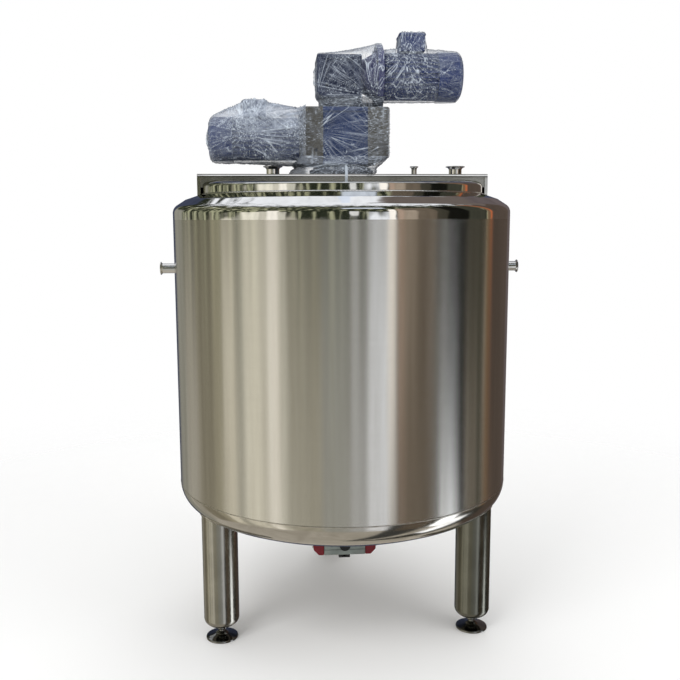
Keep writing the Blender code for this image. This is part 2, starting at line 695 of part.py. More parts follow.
def upper_drive():
    """Second geared motor, flanged on top of the first, its motor to the right."""
    start, end = (0, 0, LOWER_BOX_TOP + GAP), (0, 0, UPPER_BOX_BOTTOM - GAP)
    cylinder("upper_adapter", ADAPTER_RADIUS, start, end, GREY, LEG_STEPS)
    run, rise = UPPER_BOX_CHAMFER
    housing = [
        (UPPER_BOX_LEFT + run, UPPER_BOX_BOTTOM),
        (UPPER_BOX_RIGHT, UPPER_BOX_BOTTOM),
        (UPPER_BOX_RIGHT, UPPER_BOX_TOP),
        (UPPER_BOX_LEFT, UPPER_BOX_TOP),
        (UPPER_BOX_LEFT, UPPER_BOX_BOTTOM + rise),
    ]
    panel = (
        UPPER_BOX_LEFT + UPPER_PANEL_INSET[0],
        UPPER_BOX_RIGHT - UPPER_PANEL_INSET[1],
        UPPER_BOX_BOTTOM + UPPER_PANEL_RISE,
        UPPER_BOX_TOP - PANEL_MARGIN,
    )
    hole_z = UPPER_BOX_BOTTOM + UPPER_PAD_HOLE_RISE
    holes = [
        (UPPER_BOX_LEFT + UPPER_PAD_HOLE_INSET[0], hole_z),
        (UPPER_BOX_RIGHT - UPPER_PAD_HOLE_INSET[1], hole_z),
    ]
    gearbox("upper_gearbox", housing, UPPER_BOX_DEPTH, panel, holes)
    flange_end = UPPER_NECK_LENGTH + UPPER_FLANGE_THICKNESS
    outline = [
        (0.0, flange_end),
        (UPPER_FLANGE_RADIUS, flange_end),
        (UPPER_FLANGE_RADIUS, UPPER_NECK_LENGTH),
        (UPPER_NECK_FLARE, UPPER_NECK_LENGTH),
        (UPPER_NECK_RADIUS, UPPER_NECK_STRAIGHT),
        (UPPER_NECK_RADIUS, 0.0),
        (0.0, 0.0),
    ]
    start_x = UPPER_BOX_RIGHT + GAP
    lay_along_x(turned("upper_motor_flange", outline, GREY, LEG_STEPS), start_x, UPPER_MOTOR_Z, 1)
    body_start = start_x + flange_end + GAP
    body_end = motor(
        "upper", UPPER_MOTOR_RADIUS, body_start, UPPER_MOTOR_LENGTH, UPPER_COWL_LENGTH, UPPER_MOTOR_Z, 1
    )
    terminal_box(
        "upper_terminal_box",
        body_end - UPPER_TERMINAL_SETBACK - UPPER_TERMINAL_LENGTH,
        UPPER_TERMINAL_LENGTH,
        UPPER_MOTOR_Z + UPPER_MOTOR_RADIUS + GAP,
        UPPER_TERMINAL_HEIGHT,
    )


def outlet():
    """Outlet pipe from the vessel, butterfly valve, and the ferrule below it."""
    valve_top = VALVE_Z + VALVE_HEIGHT / 2
    valve_low = VALVE_Z - VALVE_HEIGHT / 2
    stubs = (
        ("outlet_pipe", VESSEL_LOW - GAP, VESSEL_LOW - GAP - (valve_top + GAP)),
        ("outlet_ferrule", valve_low - GAP, OUTLET_STUB),
    )
    for name, top, length in stubs:
        stub = ferrule(name, length, OUTLET_RADIUS, OUTLET_FLANGE_RADIUS, SIDE_FLARE)
        stub.rotation_euler = (math.radians(180), 0, 0)
        stub.location = (0, 0, top)
    outline = [(OUTLET_BORE, valve_top), (VALVE_RADIUS, valve_top)]
    outline += [(VALVE_RADIUS, valve_low), (OUTLET_BORE, valve_low)]
    valve = turned("valve_body", outline, PIPE, PIPE_STEPS, closed=True)
    reach = VALVE_RADIUS + CUT_OVER
    start, end = (0, -reach, VALVE_Z), (0, reach, VALVE_Z)
    cut_away(valve, cylinder("valve_stem_hole", STEM_RADIUS + RUNNING_GAP, start, end, None))


def actuator_faces():
    """Y of the actuator's back and front faces."""
    back = -VALVE_RADIUS - BRACKET_DEPTH
    return back, back - ACTUATOR_DEPTH


def valve_disc():
    """Disc and stem in one piece, which turn with the indicator."""
    front = actuator_faces()[1] - INDICATOR_STANDOFF + GAP
    rear = VALVE_RADIUS - PIPE_WALL
    stem = cylinder("valve_disc", STEM_RADIUS, (0, rear, VALVE_Z), (0, front, VALVE_Z), PIPE)
    low, high = (0, 0, VALVE_Z - DISC_THICKNESS / 2), (0, 0, VALVE_Z + DISC_THICKNESS / 2)
    disc = cylinder("valve_disc_plate", OUTLET_BORE - DISC_CLEARANCE, low, high, None, PIPE_STEPS)
    boolean(stem, as_cutter(disc), "UNION")


def actuator():
    """Rack and pinion actuator across the front of the valve, with its bracket, end caps and air ports."""
    back, front = actuator_faces()
    half_height = ACTUATOR_HEIGHT / 2
    way = STEM_RADIUS + RUNNING_GAP
    saddle_low = (-BRACKET_WIDTH / 2, back + GAP, VALVE_Z - BRACKET_HEIGHT / 2)
    saddle_high = (BRACKET_WIDTH / 2, -VALVE_RADIUS + BRACKET_WRAP, VALVE_Z + BRACKET_HEIGHT / 2)
    saddle = box("actuator_bracket", saddle_low, saddle_high, PIPE)
    low, high = (0, 0, VALVE_Z - VALVE_HEIGHT / 2), (0, 0, VALVE_Z + VALVE_HEIGHT / 2)
    seat = cylinder("bracket_seat", VALVE_RADIUS + GAP, low, high, None, PIPE_STEPS * 2)
    start, end = (0, 0, VALVE_Z), (0, back - CUT_OVER, VALVE_Z)
    cut_away(saddle, seat, cylinder("bracket_way", way, start, end, None))
    actuator_body(front, back, way)
    for name, side in (("actuator_cap_left", -1), ("actuator_cap_right", 1)):
        cap = plate(name, [(side * x, z) for x, z in cap_outline()], ACTUATOR_DEPTH - 2 * CAP_INSET, RED)
        cap.rotation_euler = (math.radians(90), 0, 0)
        cap.location = (side * (ACTUATOR_WIDTH / 2 + GAP), (front + back) / 2, VALVE_Z)
        bevel(cap, CAP_EDGE)
    air_port_block((front + back) / 2, VALVE_Z - half_height - GAP)


def actuator_body(front, back, way):
    """Extruded body with a long groove near its top and bottom, and a way for the stem."""
    half_width = ACTUATOR_WIDTH / 2
    half_height = ACTUATOR_HEIGHT / 2
    low = (-half_width, front, VALVE_Z - half_height)
    high = (half_width, back, VALVE_Z + half_height)
    body = bevel(box("actuator_body", low, high, ALLOY), ACTUATOR_EDGE)
    start, end = (0, back + CUT_OVER, VALVE_Z), (0, front - CUT_OVER, VALVE_Z)
    cut_away(body, cylinder("actuator_way", way, start, end, None))
    for name, side in (("low", -1), ("high", 1)):
        groove_z = VALVE_Z + side * (half_height - ACTUATOR_GROOVE_OFFSET)
        low = (-half_width - CUT_OVER, front - CUT_OVER, groove_z - ACTUATOR_GROOVE / 2)
        high = (half_width + CUT_OVER, front + ACTUATOR_GROOVE, groove_z + ACTUATOR_GROOVE / 2)
        cut_away(body, box(f"actuator_groove_{name}", low, high, None))


def cap_outline():
    """Front view of an end cap, from the body outwards, with its two outer corners cut off."""
    half_height = ACTUATOR_HEIGHT / 2
    run, rise = CAP_CHAMFER
    return [
        (0.0, -half_height),
        (CAP_LENGTH - run, -half_height),
        (CAP_LENGTH, -half_height + rise),
        (CAP_LENGTH, half_height - rise),
        (CAP_LENGTH - run, half_height),
        (0.0, half_height),
    ]


def air_port_block(middle, top):
    """Small block under the actuator, with an air port in its front."""
    width, depth, height = PORT_BLOCK
    front = middle - depth / 2
    low, high = (-width / 2, front, top - height), (width / 2, middle + depth / 2, top)
    block = box("air_port_block", low, high, BLACK)
    start, end = (0, front - CUT_OVER, top - height / 2), (0, front + PORT_DEPTH, top - height / 2)
    cut_away(block, cylinder("air_port", PORT_RADIUS, start, end, None))


def position_indicator():
    """Round cap with a raised bar that shows how the valve stands."""
    near = actuator_faces()[1] - INDICATOR_STANDOFF
    far = near - INDICATOR_DEPTH
    start, end = (0, near, VALVE_Z), (0, far, VALVE_Z)
    knob = cylinder("position_indicator", INDICATOR_RADIUS, start, end, BLACK, PIPE_STEPS)
    length, width, height = INDICATOR_BAR
    low = (-length / 2, far - height, VALVE_Z - width / 2)
    high = (length / 2, far + height, VALVE_Z + width / 2)
    boolean(knob, as_cutter(box("indicator_bar", low, high, None)), "UNION")


def legs():
    """Three tube legs under the bottom head, each on a screwed foot."""
    for name, degrees in LEG_ANGLES.items():
        angle = math.radians(degrees)
        stand = (LEG_CIRCLE * math.cos(angle), LEG_CIRCLE * math.sin(angle), 0)
        leg(name).location = stand
        foot(name).location = stand


def leg(name):
    """Closed tube leg, rounded below and cut to the head's shape above."""
    outline = [(0.0, JACKET_BOTTOM), (LEG_RADIUS, JACKET_BOTTOM)]
    round_centre = (LEG_RADIUS - LEG_END_ROUND, LEG_BOTTOM + LEG_END_ROUND)
    outline += arc(round_centre, (LEG_END_ROUND, LEG_END_ROUND), 0, -90, KNUCKLE_STEPS)
    outline += [(0.0, LEG_BOTTOM)]
    tube = turned("leg_" + name, outline, PIPE, LEG_STEPS)
    radius = TANK_RADIUS + GAP
    over = JACKET_BOTTOM + HEAD_KNUCKLE
    head_space = [(0.0, over), (radius, over)]
    head_space += dished_outline(
        radius, JACKET_BOTTOM - GAP, HEAD_KNUCKLE + GAP, HEAD_CROWN + GAP, OUTLET_RADIUS + GAP
    )
    head_space += [(0.0, head_space[-1][1])]
    return cut_away(tube, turned("leg_" + name + "_seat", head_space, None, SHELL_STEPS))


def foot(name):
    """Dished foot plate with its spindle and the nut under the leg."""
    top = LEG_BOTTOM - GAP
    outline = [
        (0.0, top),
        (NUT_RADIUS, top),
        (NUT_RADIUS, top - NUT_HEIGHT),
        (SPINDLE_RADIUS, top - NUT_HEIGHT),
        (FOOT_SOCKET_RADIUS, FOOT_SOCKET_Z),
        (FOOT_RING_RADIUS, FOOT_RING_Z),
        (FOOT_RADIUS, FOOT_EDGE),
        (FOOT_RADIUS, 0.0),
        (0.0, 0.0),
    ]
    return turned("foot_" + name, outline, PIPE, LEG_STEPS)


jacket()
top_shoulder()
bottom_head()
inner_vessel()
lid("lid_front", -1)
lid("lid_back", 1)
bridge()
top_nozzles()
side_nozzles()
lower_drive()
upper_drive()
outlet()
valve_disc()
actuator()
position_indicator()
legs()
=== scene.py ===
# Looks of the mixing tank: mirror and brushed stainless steel, two blue geared motors wrapped in clear film,
# and a plain pale studio. Metres, +Z up, tank axis on the Z axis, front at -Y.
import math
from contextlib import contextmanager

import bmesh
import bpy
import numpy as np
from mathutils import Matrix, Vector, noise

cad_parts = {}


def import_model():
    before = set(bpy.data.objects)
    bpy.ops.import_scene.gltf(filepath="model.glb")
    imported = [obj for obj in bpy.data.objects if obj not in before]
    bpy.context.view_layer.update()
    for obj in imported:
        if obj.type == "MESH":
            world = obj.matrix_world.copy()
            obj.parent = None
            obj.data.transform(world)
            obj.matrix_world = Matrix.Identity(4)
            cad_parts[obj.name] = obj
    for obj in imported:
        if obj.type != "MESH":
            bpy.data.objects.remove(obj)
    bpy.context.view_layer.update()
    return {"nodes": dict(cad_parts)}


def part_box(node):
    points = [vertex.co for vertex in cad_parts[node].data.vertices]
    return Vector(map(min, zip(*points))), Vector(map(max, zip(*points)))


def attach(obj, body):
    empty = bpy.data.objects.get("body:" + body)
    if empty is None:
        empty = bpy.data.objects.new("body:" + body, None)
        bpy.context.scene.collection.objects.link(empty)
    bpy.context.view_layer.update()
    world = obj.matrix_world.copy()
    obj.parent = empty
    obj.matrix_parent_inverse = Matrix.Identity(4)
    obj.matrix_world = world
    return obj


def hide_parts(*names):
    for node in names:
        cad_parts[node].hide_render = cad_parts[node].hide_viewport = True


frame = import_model()
NODES = frame["nodes"]

# Camera, as fitted to the photograph
CAMERA_PLACE = (-0.2574, -3.3450, 1.5875)
CAMERA_TURN = -0.0747
CAMERA_TILT = 0.1443
CAMERA_ROLL = -0.0031
CAMERA_LENS = 44.73

# Sizes read from the frame
WALL_LOW, WALL_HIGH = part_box("jacket_wall")
TANK_RADIUS = WALL_HIGH.x
JACKET_BOTTOM = WALL_LOW.z
JACKET_TOP = WALL_HIGH.z
NECK_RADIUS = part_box("inner_vessel")[1].x
NECK_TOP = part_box("inner_vessel")[1].z
LID_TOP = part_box("lid_front")[1].z
LID_EDGE_Y = -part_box("lid_front")[1].y
BRIDGE_LOW, BRIDGE_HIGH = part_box("bridge_top_plate")
LEG_RADIUS = (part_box("leg_rear")[1].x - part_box("leg_rear")[0].x) / 2

# Sizes of the shells, as in the solids
SHEET = 0.003
SKIRT_HEIGHT = 0.024
SHOULDER_KNUCKLE = 0.035
INNER_SLOPE = 19
OUTER_SLOPE = 33
RIDGE_RADIUS = 0.602
HEAD_KNUCKLE = 0.095
HEAD_CROWN = 1.400
LID_ROLL = 0.048
LID_EDGE_RISE = 0.004
LID_EDGE_ROUND = 0.006
LEG_END_ROUND = 0.030
VESSEL_RIM_RISE = 0.040
VESSEL_KNUCKLE = 0.080
VESSEL_CROWN = 1.200
OUTLET_HOLE = 0.0257

# Sizes that only the looks have
LID_FLOAT = 0.0006
LID_LIP_DEPTH = 0.004
LID_LIP_WIDTH = 0.010
PLATE_LIP = 0.0028
PLATE_SLOPE = 0.0042
PANEL_LEFT = -0.076
PANEL_RIGHT = 0.093
SMALL_PIPE = 0.0105
TOP_PIPE = 0.0254
SIDE_PIPE = 0.019
PIPE_SHEET = 0.0015
FERRULE_LIP = 0.0032
FERRULE_HEAD = 0.0064
BEAD_SINK = 0.0006

# Fineness of the turned surfaces, and angles under which an edge counts as smooth
SHELL_STEPS = 256
SMALL_STEPS = 96
FILLET_STEPS = 4
SHARP_ANGLE = math.radians(35)
EDGE_ANGLE = math.radians(40)
FILLET_LEAST_TURN = math.radians(20)
WELD_DISTANCE = 0.00002
BEAD_SIDES = 8
BOLT_STEPS = 24
FILM_COLUMNS = 230
CAP_ROWS = 30
CAP_BULGE = 0.006

# Material slots of the record
POLISHED_SLOT = "polished_stainless"
BRUSHED_SLOT = "brushed_stainless"


def link(item, node=None):
    """Puts a piece in the scene. It rides the tank, and may stand for a node."""
    bpy.context.scene.collection.objects.link(item)
    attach(item, "tank")
    if node:
        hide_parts(node)
    return item


# Outlines and turned surfaces


def arc(centre, radii, start, end, count):
    """Points of an elliptical arc in the X-Z plane, angles in degrees from +X towards +Z."""
    points = []
    for index in range(count + 1):
        angle = math.radians(start + (end - start) * index / count)
        points.append((centre[0] + radii[0] * math.cos(angle), centre[1] + radii[1] * math.sin(angle)))
    return points


def fillet(points, radius):
    """Rounds the corners of a closed outline that turn by more than FILLET_LEAST_TURN."""
    rounded = []
    for index, point in enumerate(points):
        here = Vector(point)
        before = Vector(points[index - 1]) - here
        after = Vector(points[(index + 1) % len(points)]) - here
        turn = math.pi - before.angle(after, math.pi)
        if turn < FILLET_LEAST_TURN:
            rounded.append(point)
            continue
        reach = min(radius * math.tan(turn / 2), before.length * 0.45, after.length * 0.45)
        start = here + before.normalized() * reach
        end = here + after.normalized() * reach
        for step in range(FILLET_STEPS + 1):
            share = step / FILLET_STEPS
            rounded.append(tuple(start.lerp(here, share).lerp(here.lerp(end, share), share)))
    return rounded


def middle_of(low, high, z=0.0):
    """Middle of a box as seen from above, at a height."""
    return Vector(((low.x + high.x) / 2, (low.y + high.y) / 2, z))


def circle(steps):
    """Angles of equal steps round a circle."""
    return [2 * math.pi * step / steps for step in range(steps)]


def grid_faces(rows, columns, round_rows, round_columns):
    """Faces of a grid of points listed row by row. Where it is round, its last points join its first."""
    faces = []
    for row in range(rows if round_rows else rows - 1):
        near = row * columns
        far = (row + 1) % rows * columns
        for column in range(columns if round_columns else columns - 1):
            after = (column + 1) % columns
            faces.append((near + column, near + after, far + after, far + column))
    return faces


def mesh_object(name, points, faces, material, sharp=True):
    """A smooth mesh. sharp keeps its steep corners."""
    mesh = bpy.data.meshes.new(name)
    mesh.from_pydata(points, [], faces)
    mesh.validate()
    mesh.shade_smooth()
    if sharp:
        mesh.set_sharp_from_angle(angle=SHARP_ANGLE)
    mesh.materials.append(material)
    return bpy.data.objects.new(name, mesh)


@contextmanager
def reworked(mesh):
    """The mesh as a bmesh, written back at the end."""
    shape = bmesh.new()
    shape.from_mesh(mesh)
    yield shape
    shape.to_mesh(mesh)
    shape.free()


def turned(name, outline, material, steps=SMALL_STEPS, closed=True):
    """Turns an X-Z outline about Z. The outline runs top to bottom on its outer side."""
    points = [(x * math.cos(angle), x * math.sin(angle), z) for angle in circle(steps) for x, z in outline]
    item = mesh_object(name, points, grid_faces(steps, len(outline), True, closed), material)
    with reworked(item.data) as shape:
        bmesh.ops.remove_doubles(shape, verts=shape.verts, dist=WELD_DISTANCE)
        bmesh.ops.recalc_face_normals(shape, faces=shape.faces)
    item.data.set_sharp_from_angle(angle=SHARP_ANGLE)
    return item


def stand(item, place, tilt=0.0):
    """Moves a piece to its place, tilted about Y."""
    item.matrix_world = Matrix.Translation(place) @ Matrix.Rotation(tilt, 4, "Y")
    return item


# Materials


class Graph:
    """A node tree in the making. What goes into a socket is a value or another node's output."""

    def __init__(self, tree):
        self.nodes = tree.nodes
        self.links = tree.links

    def feed(self, socket, value):
        if isinstance(value, bpy.types.NodeSocket):
            self.links.new(value, socket)
        else:
            socket.default_value = value

    def add(self, kind, inputs=(), **settings):
        """A shader node. inputs are pairs of a socket's name or number and what goes in."""
        node = self.nodes.new("ShaderNode" + kind)
        for key, value in settings.items():
            setattr(node, key, value)
        for key, value in inputs:
            self.feed(node.inputs[key], value)
        return node

    def math(self, operation, *values, clamp=False):
        return self.add("Math", enumerate(values), operation=operation, use_clamp=clamp).outputs["Value"]

    def vector_math(self, operation, *values, output="Vector"):
        return self.add("VectorMath", enumerate(values), operation=operation).outputs[output]

    def split(self, vector):
        """X, Y and Z of a vector, by name."""
        return self.add("SeparateXYZ", ((0, vector),)).outputs

    def step(self, value, low, high, first=0.0, last=1.0, smooth=True):
        """Goes from first to last while value goes from low to high."""
        inputs = (("Value", value), ("From Min", low), ("From Max", high), ("To Min", first), ("To Max", last))
        return self.add("MapRange", inputs, interpolation_type="SMOOTHSTEP" if smooth else "LINEAR").outputs["Result"]

    def blend(self, share, first, second):
        """A colour between two others."""
        first, second = ((*colour, 1.0) if isinstance(colour, tuple) else colour for colour in (first, second))
        return self.add("Mix", ((0, share), (6, first), (7, second)), data_type="RGBA").outputs[2]

    def noise(self, vector, scale, detail=3.0, roughness=0.5, distortion=0.0):
        inputs = (("Scale", scale), ("Detail", detail), ("Roughness", roughness), ("Distortion", distortion))
        return self.add("TexNoise", (("Vector", vector), *inputs)).outputs["Fac"]


class Recipe(Graph):
    """A material in the making, with values for the sockets of its shader."""

    def __init__(self, name, **values):
        self.material = bpy.data.materials.new(name)
        self.material.use_nodes = True
        super().__init__(self.material.node_tree)
        self.shader = self.nodes["Principled BSDF"]
        for key, value in values.items():
            socket = key.replace("_", " ").title().replace("Ior", "IOR")
            self.shader.inputs[socket].default_value = (*value, 1.0) if isinstance(value, tuple) else value

    def here(self):
        return self.add("TexCoord").outputs["Object"]

    def place(self, scale=(1, 1, 1), vector=None, rotation=(0, 0, 0), location=(0, 0, 0)):
        """Object coordinates, or another vector, stretched by scale, turned and moved."""
        inputs = (("Location", location), ("Rotation", rotation), ("Scale", scale))
        return self.add("Mapping", (("Vector", vector or self.here()), *inputs)).outputs["Vector"]

    def texture(self, scale, detail, stretch=(1, 1, 1), **more):
        """Noise over object coordinates, finer along a side that stretch enlarges."""
        return self.noise(self.place(stretch), scale, detail, **more)

    def ramp(self, source, *stops):
        """Maps a number to colours or greys. Each stop is (position, colour or grey)."""
        node = self.add("ValToRGB", (("Fac", source),))
        elements = node.color_ramp.elements
        while len(elements) < len(stops):
            elements.new(0.5)
        for element, (position, colour) in zip(elements, stops):
            element.position = position
            element.color = (*colour, 1.0) if isinstance(colour, tuple) else (colour, colour, colour, 1.0)
        return node.outputs["Color"]

    def bump(self, height, strength, distance):
        inputs = (("Height", height), ("Strength", strength), ("Distance", distance))
        return self.add("Bump", inputs).outputs["Normal"]

    def finish(self, **outputs):
        """Joins outputs to the shader's sockets of those names."""
        for key, output in outputs.items():
            self.feed(self.shader.inputs[key.replace("_", " ").title()], output)
        return self.material

    def worn(self, tone, colours, roughness, relief, strength, distance):
        """Colour and roughness that follow tone, over a fine relief."""
        return self.finish(
            base_color=self.ramp(tone, *colours),
            roughness=self.ramp(tone, *roughness),
            normal=self.bump(relief, strength, distance),
        )


def brushed_wall():
    """Sheet ground round the tank: fine level grain that draws reflections out upwards and down."""
    recipe = Recipe("brushed_stainless_wall", metallic=1.0, anisotropic=1.0, anisotropic_rotation=0.25)
    here = recipe.split(recipe.here())
    angle = recipe.math("ARCTAN2", here["Y"], here["X"])
    unrolled = recipe.add("CombineXYZ", (("X", angle), ("Z", here["Z"]))).outputs["Vector"]
    grain = recipe.noise(recipe.place((3.0, 1.0, 900.0), unrolled), 1.0, 4.0)
    passes = recipe.noise(recipe.place((9.0, 1.0, 0.6), unrolled), 1.6, 5.0)
    return recipe.finish(
        tangent=recipe.add("Tangent", direction_type="RADIAL", axis="Z").outputs["Tangent"],
        base_color=recipe.ramp(passes, (0.3, (0.55, 0.535, 0.50)), (0.7, (0.66, 0.65, 0.62))),
        roughness=recipe.ramp(grain, (0.3, 0.19), (0.7, 0.24)),
        normal=recipe.bump(grain, 0.05, 0.0003),
    )


def mirror(name, colour=(0.72, 0.72, 0.71), roughness=0.035, ripple=0.0005):
    """Polished sheet with the slight waviness left by rolling and welding."""
    recipe = Recipe(name, metallic=1.0)
    waves, haze = (recipe.texture(scale, detail, (1, 1, 1.6)) for scale, detail in ((7.0, 2.0), (30.0, 4.0)))
    pale = tuple(min(1.0, value * 1.06) for value in colour)
    shine = ((0.3, roughness), (0.75, roughness * 2.2))
    return recipe.worn(haze, ((0.35, colour), (0.7, pale)), shine, waves, 0.5, ripple * 6)


def satin(name, colour, low, high, scale=(40, 40, 3)):
    """Satin steel with grain along Z and a few dull patches."""
    recipe = Recipe(name, metallic=1.0)
    grain = recipe.texture(6.0, 5.0, scale)
    patches = recipe.texture(9.0, 3.0)
    dull = tuple(value * 0.82 for value in colour)
    return recipe.worn(patches, ((0.35, dull), (0.65, colour)), ((0.3, low), (0.7, high)), grain, 0.25, 0.0005)


def head_steel():
    """Bottom head: dull pressed sheet with smudges and handling marks."""
    recipe = Recipe("bottom_head_steel", metallic=1.0)
    smudges = recipe.texture(9.0, 6.0, (1, 1, 3), distortion=0.8)
    spots = recipe.texture(60.0, 3.0)
    colours = ((0.35, (0.46, 0.44, 0.40)), (0.62, (0.56, 0.54, 0.50)))
    return recipe.worn(smudges, colours, ((0.3, 0.17), (0.7, 0.10)), spots, 0.15, 0.0006)


def enamel(name, colour, roughness=0.38, metallic=0.0, grain=0.12):
    """Sprayed enamel on a casting: orange peel and small tone changes."""
    recipe = Recipe(name, metallic=metallic, specular_ior_level=0.28)
    peel = recipe.texture(420.0, 2.0)
    tone = recipe.texture(14.0, 5.0)
    dark = tuple(value * 0.72 for value in colour)
    light = tuple(min(1.0, value * 1.18 + 0.01) for value in colour)
    shine = ((0.3, roughness + 0.08), (0.7, roughness - 0.06))
    return recipe.worn(tone, ((0.3, dark), (0.55, colour), (0.75, light)), shine, peel, grain, 0.0006)


def weld_steel():
    recipe = Recipe("weld_bead", metallic=1.0)
    tint = recipe.texture(55.0, 3.0)
    grit = recipe.texture(240.0, 2.0)
    colours = ((0.3, (0.40, 0.37, 0.33)), (0.7, (0.60, 0.58, 0.55)))
    return recipe.worn(tint, colours, ((0.3, 0.42), (0.7, 0.26)), grit, 0.4, 0.0008)


def gearbox_paint():
    """Blue middle panel between two bare grey pads."""
    recipe = Recipe("lower_gearbox_paint", specular_ior_level=0.28)
    middle = (PANEL_LEFT + PANEL_RIGHT) / 2
    panel = recipe.math("COMPARE", recipe.split(recipe.here())["X"], middle, PANEL_RIGHT - middle)
    tone = recipe.texture(16.0, 5.0)
    pads = recipe.ramp(tone, (0.3, (0.052, 0.049, 0.041)), (0.7, (0.098, 0.092, 0.076)))
    blue = recipe.ramp(tone, (0.3, (0.010, 0.022, 0.080)), (0.7, (0.018, 0.040, 0.130)))
    return recipe.finish(
        base_color=recipe.blend(panel, pads, blue),
        roughness=recipe.ramp(tone, (0.3, 0.5), (0.7, 0.35)),
        normal=recipe.bump(recipe.texture(300.0, 2.0), 0.2, 0.0006),
    )


# Whitish blue along the film's folds: partly the film's own whitening, partly painted highlight.
FILM_WHITE = (0.80, 0.89, 1.0)
FILM_GREY = (0.11, 0.12, 0.14)
EDGE_VEIL = 0.75
DENSE_VEIL = 0.85
# Grey that the film turns beyond its bound: painted shade under the lower motor.
PAINTED_SHADE_GREY = 0.8


def clear_film(name, veil, cloud, milk_and_highlight, scuffs=0.25, dense=(), tint=(0.40, 0.45, 0.55), shade_bound=None):
    """Thin clear film. veil is how much it hides where it lies flat, cloud in its soft milky patches, milk along
    folds, where its whiteness is partly the film's own and partly painted highlight, and scuffs how plain its faint
    scratches are. It lies in several layers inside the bounds of dense, and turns grey beyond that of loose, which is
    painted shade where it lies under the lower motor. A bound is a side, where it begins and where it is full."""
    recipe = Recipe(name, roughness=0.16, ior=1.5, specular_ior_level=0.8)
    here = recipe.here()
    where = recipe.split(here)
    lines = recipe.add("Attribute", attribute_name="fold").outputs["Fac"]
    for tilt, long, thin in ((0.62, 4.0, 70.0), (-0.5, 5.0, 90.0)):
        turned_way = recipe.place(vector=here, rotation=(0.0, tilt, 0.0), location=(tilt * 3, 0.4, tilt))
        streak = recipe.noise(recipe.place((long, thin * 0.35, thin), turned_way), 1.0, 2.0, distortion=0.3)
        lines = recipe.math("MAXIMUM", lines, recipe.ramp(streak, (0.62, 0.0), (0.70, scuffs)))
    haze = recipe.texture(1.0, 4.0, (11, 11, 20), roughness=0.6, distortion=1.2)
    layers = recipe.ramp(haze, (0.42, veil), (0.56, veil + cloud * 0.3), (0.70, veil + cloud))
    if dense:
        share = haze
        for side, begins, full in dense:
            share = recipe.math("MULTIPLY", share, recipe.step(where[side], begins, full))
        layers = recipe.math("MULTIPLY_ADD", share, DENSE_VEIL, layers)
    facing = recipe.add("LayerWeight", (("Blend", 0.5),)).outputs["Facing"]
    shade = recipe.math("POWER", facing, 2.2)
    # Beyond the bound the film is painted grey: painted shade under the lower motor.
    if shade_bound:
        side, begins, full = shade_bound
        shade = recipe.math("MAXIMUM", shade, recipe.step(where[side], begins, full, 0.0, PAINTED_SHADE_GREY))
    flat = recipe.math("MULTIPLY_ADD", shade, EDGE_VEIL, layers, clamp=True)
    # White along folds and scuffs: partly the film's own whitening, partly painted highlight standing in for glints
    # on the creases.
    white = recipe.ramp(lines, (0.05, tint), (0.6, FILM_WHITE))
    return recipe.finish(
        alpha=recipe.step(lines, 0.0, 1.0, flat, milk_and_highlight, smooth=False),
        base_color=recipe.blend(shade, white, FILM_GREY),
        normal=recipe.bump(lines, 0.8, 0.002),
    )


WALL_STEEL = brushed_wall()
MIRROR_STEEL = mirror("polished_stainless_shell")
BRIDGE_STEEL = mirror("bridge_stainless", (0.66, 0.65, 0.63), 0.06, 0.0002)
# The web's steel is darker than the plate's: painted shade under the plate's overhang.
SHADED_WEB_STEEL = satin("bridge_web_stainless_painted_shade", (0.50, 0.49, 0.47), 0.16, 0.26, (3, 3, 40))
# Dark satin steel for the upright lip and foot of the bridge plate: painted shade.
SHADED_LIP_STEEL = satin("bridge_lip_stainless_painted_shade", (0.20, 0.195, 0.185), 0.2, 0.3, (3, 3, 40))
PIPE_STEEL = mirror("pipe_stainless_polished", (0.66, 0.655, 0.64), 0.09, 0.0001)
LEG_STEEL = satin("leg_stainless", (0.36, 0.35, 0.315), 0.14, 0.24)
# A darker copy of the leg steel for the right front leg: painted shade.
SHADED_LEG_STEEL = satin("leg_stainless_painted_shade", (0.17, 0.17, 0.145), 0.16, 0.28)
# Darkened polished steel for the feet under the tank: painted shade.
SHADED_FOOT_STEEL = mirror("foot_stainless_painted_shade", (0.20, 0.20, 0.19), 0.07, 0.0001)
HEAD_STEEL = head_steel()
WELD_STEEL = weld_steel()
BLUE = enamel("motor_enamel", (0.010, 0.024, 0.110))
DARK_BLUE = enamel("upper_gearbox_enamel", (0.007, 0.013, 0.045))
FLANGE_BLUE = enamel("upper_flange_enamel", (0.030, 0.032, 0.11))
CASTING = enamel("grey_casting", (0.035, 0.037, 0.040), 0.5, 0.1, 0.3)
ALLOY = enamel("actuator_anodised", (0.30, 0.34, 0.32), 0.36, 0.55, 0.08)
RED = enamel("actuator_cap_powder_coat", (0.20, 0.012, 0.02), 0.35)
BLACK = enamel("black_moulding", (0.015, 0.015, 0.016), 0.42)
FILM_DENSE = clear_film(
    "clear_film_several_layers",
    0.03,
    0.42,
    0.84,
    dense=(("X", -0.51, -0.38), ("X", -0.12, -0.18), ("Z", 1.85, 1.95)),
    # Grey below this height: painted shade under the lower motor.
    shade_bound=("Z", 1.803, 1.793),
)
# Grey beyond this X: painted shade under the lower motor.
FILM_SKIRT = clear_film("clear_film_gathered", 0.12, 0.30, 0.80, shade_bound=("X", -0.125, -0.15))
FILM_NECK = clear_film("clear_film_twisted", 0.55, 0.30, 0.75, 0.2, tint=(0.15, 0.17, 0.21))
FILM_THIN = clear_film("clear_film_one_layer", 0.004, 0.07, 0.72, 0.12)
FILM_TIGHT = clear_film("clear_film_tight", 0.008, 0.12, 0.88, 0.18)
GEARBOX_PAINT = gearbox_paint()
BOLT = satin("bolt_steel", (0.50, 0.49, 0.47), 0.25, 0.38, (60, 60, 60))


# Tank shells


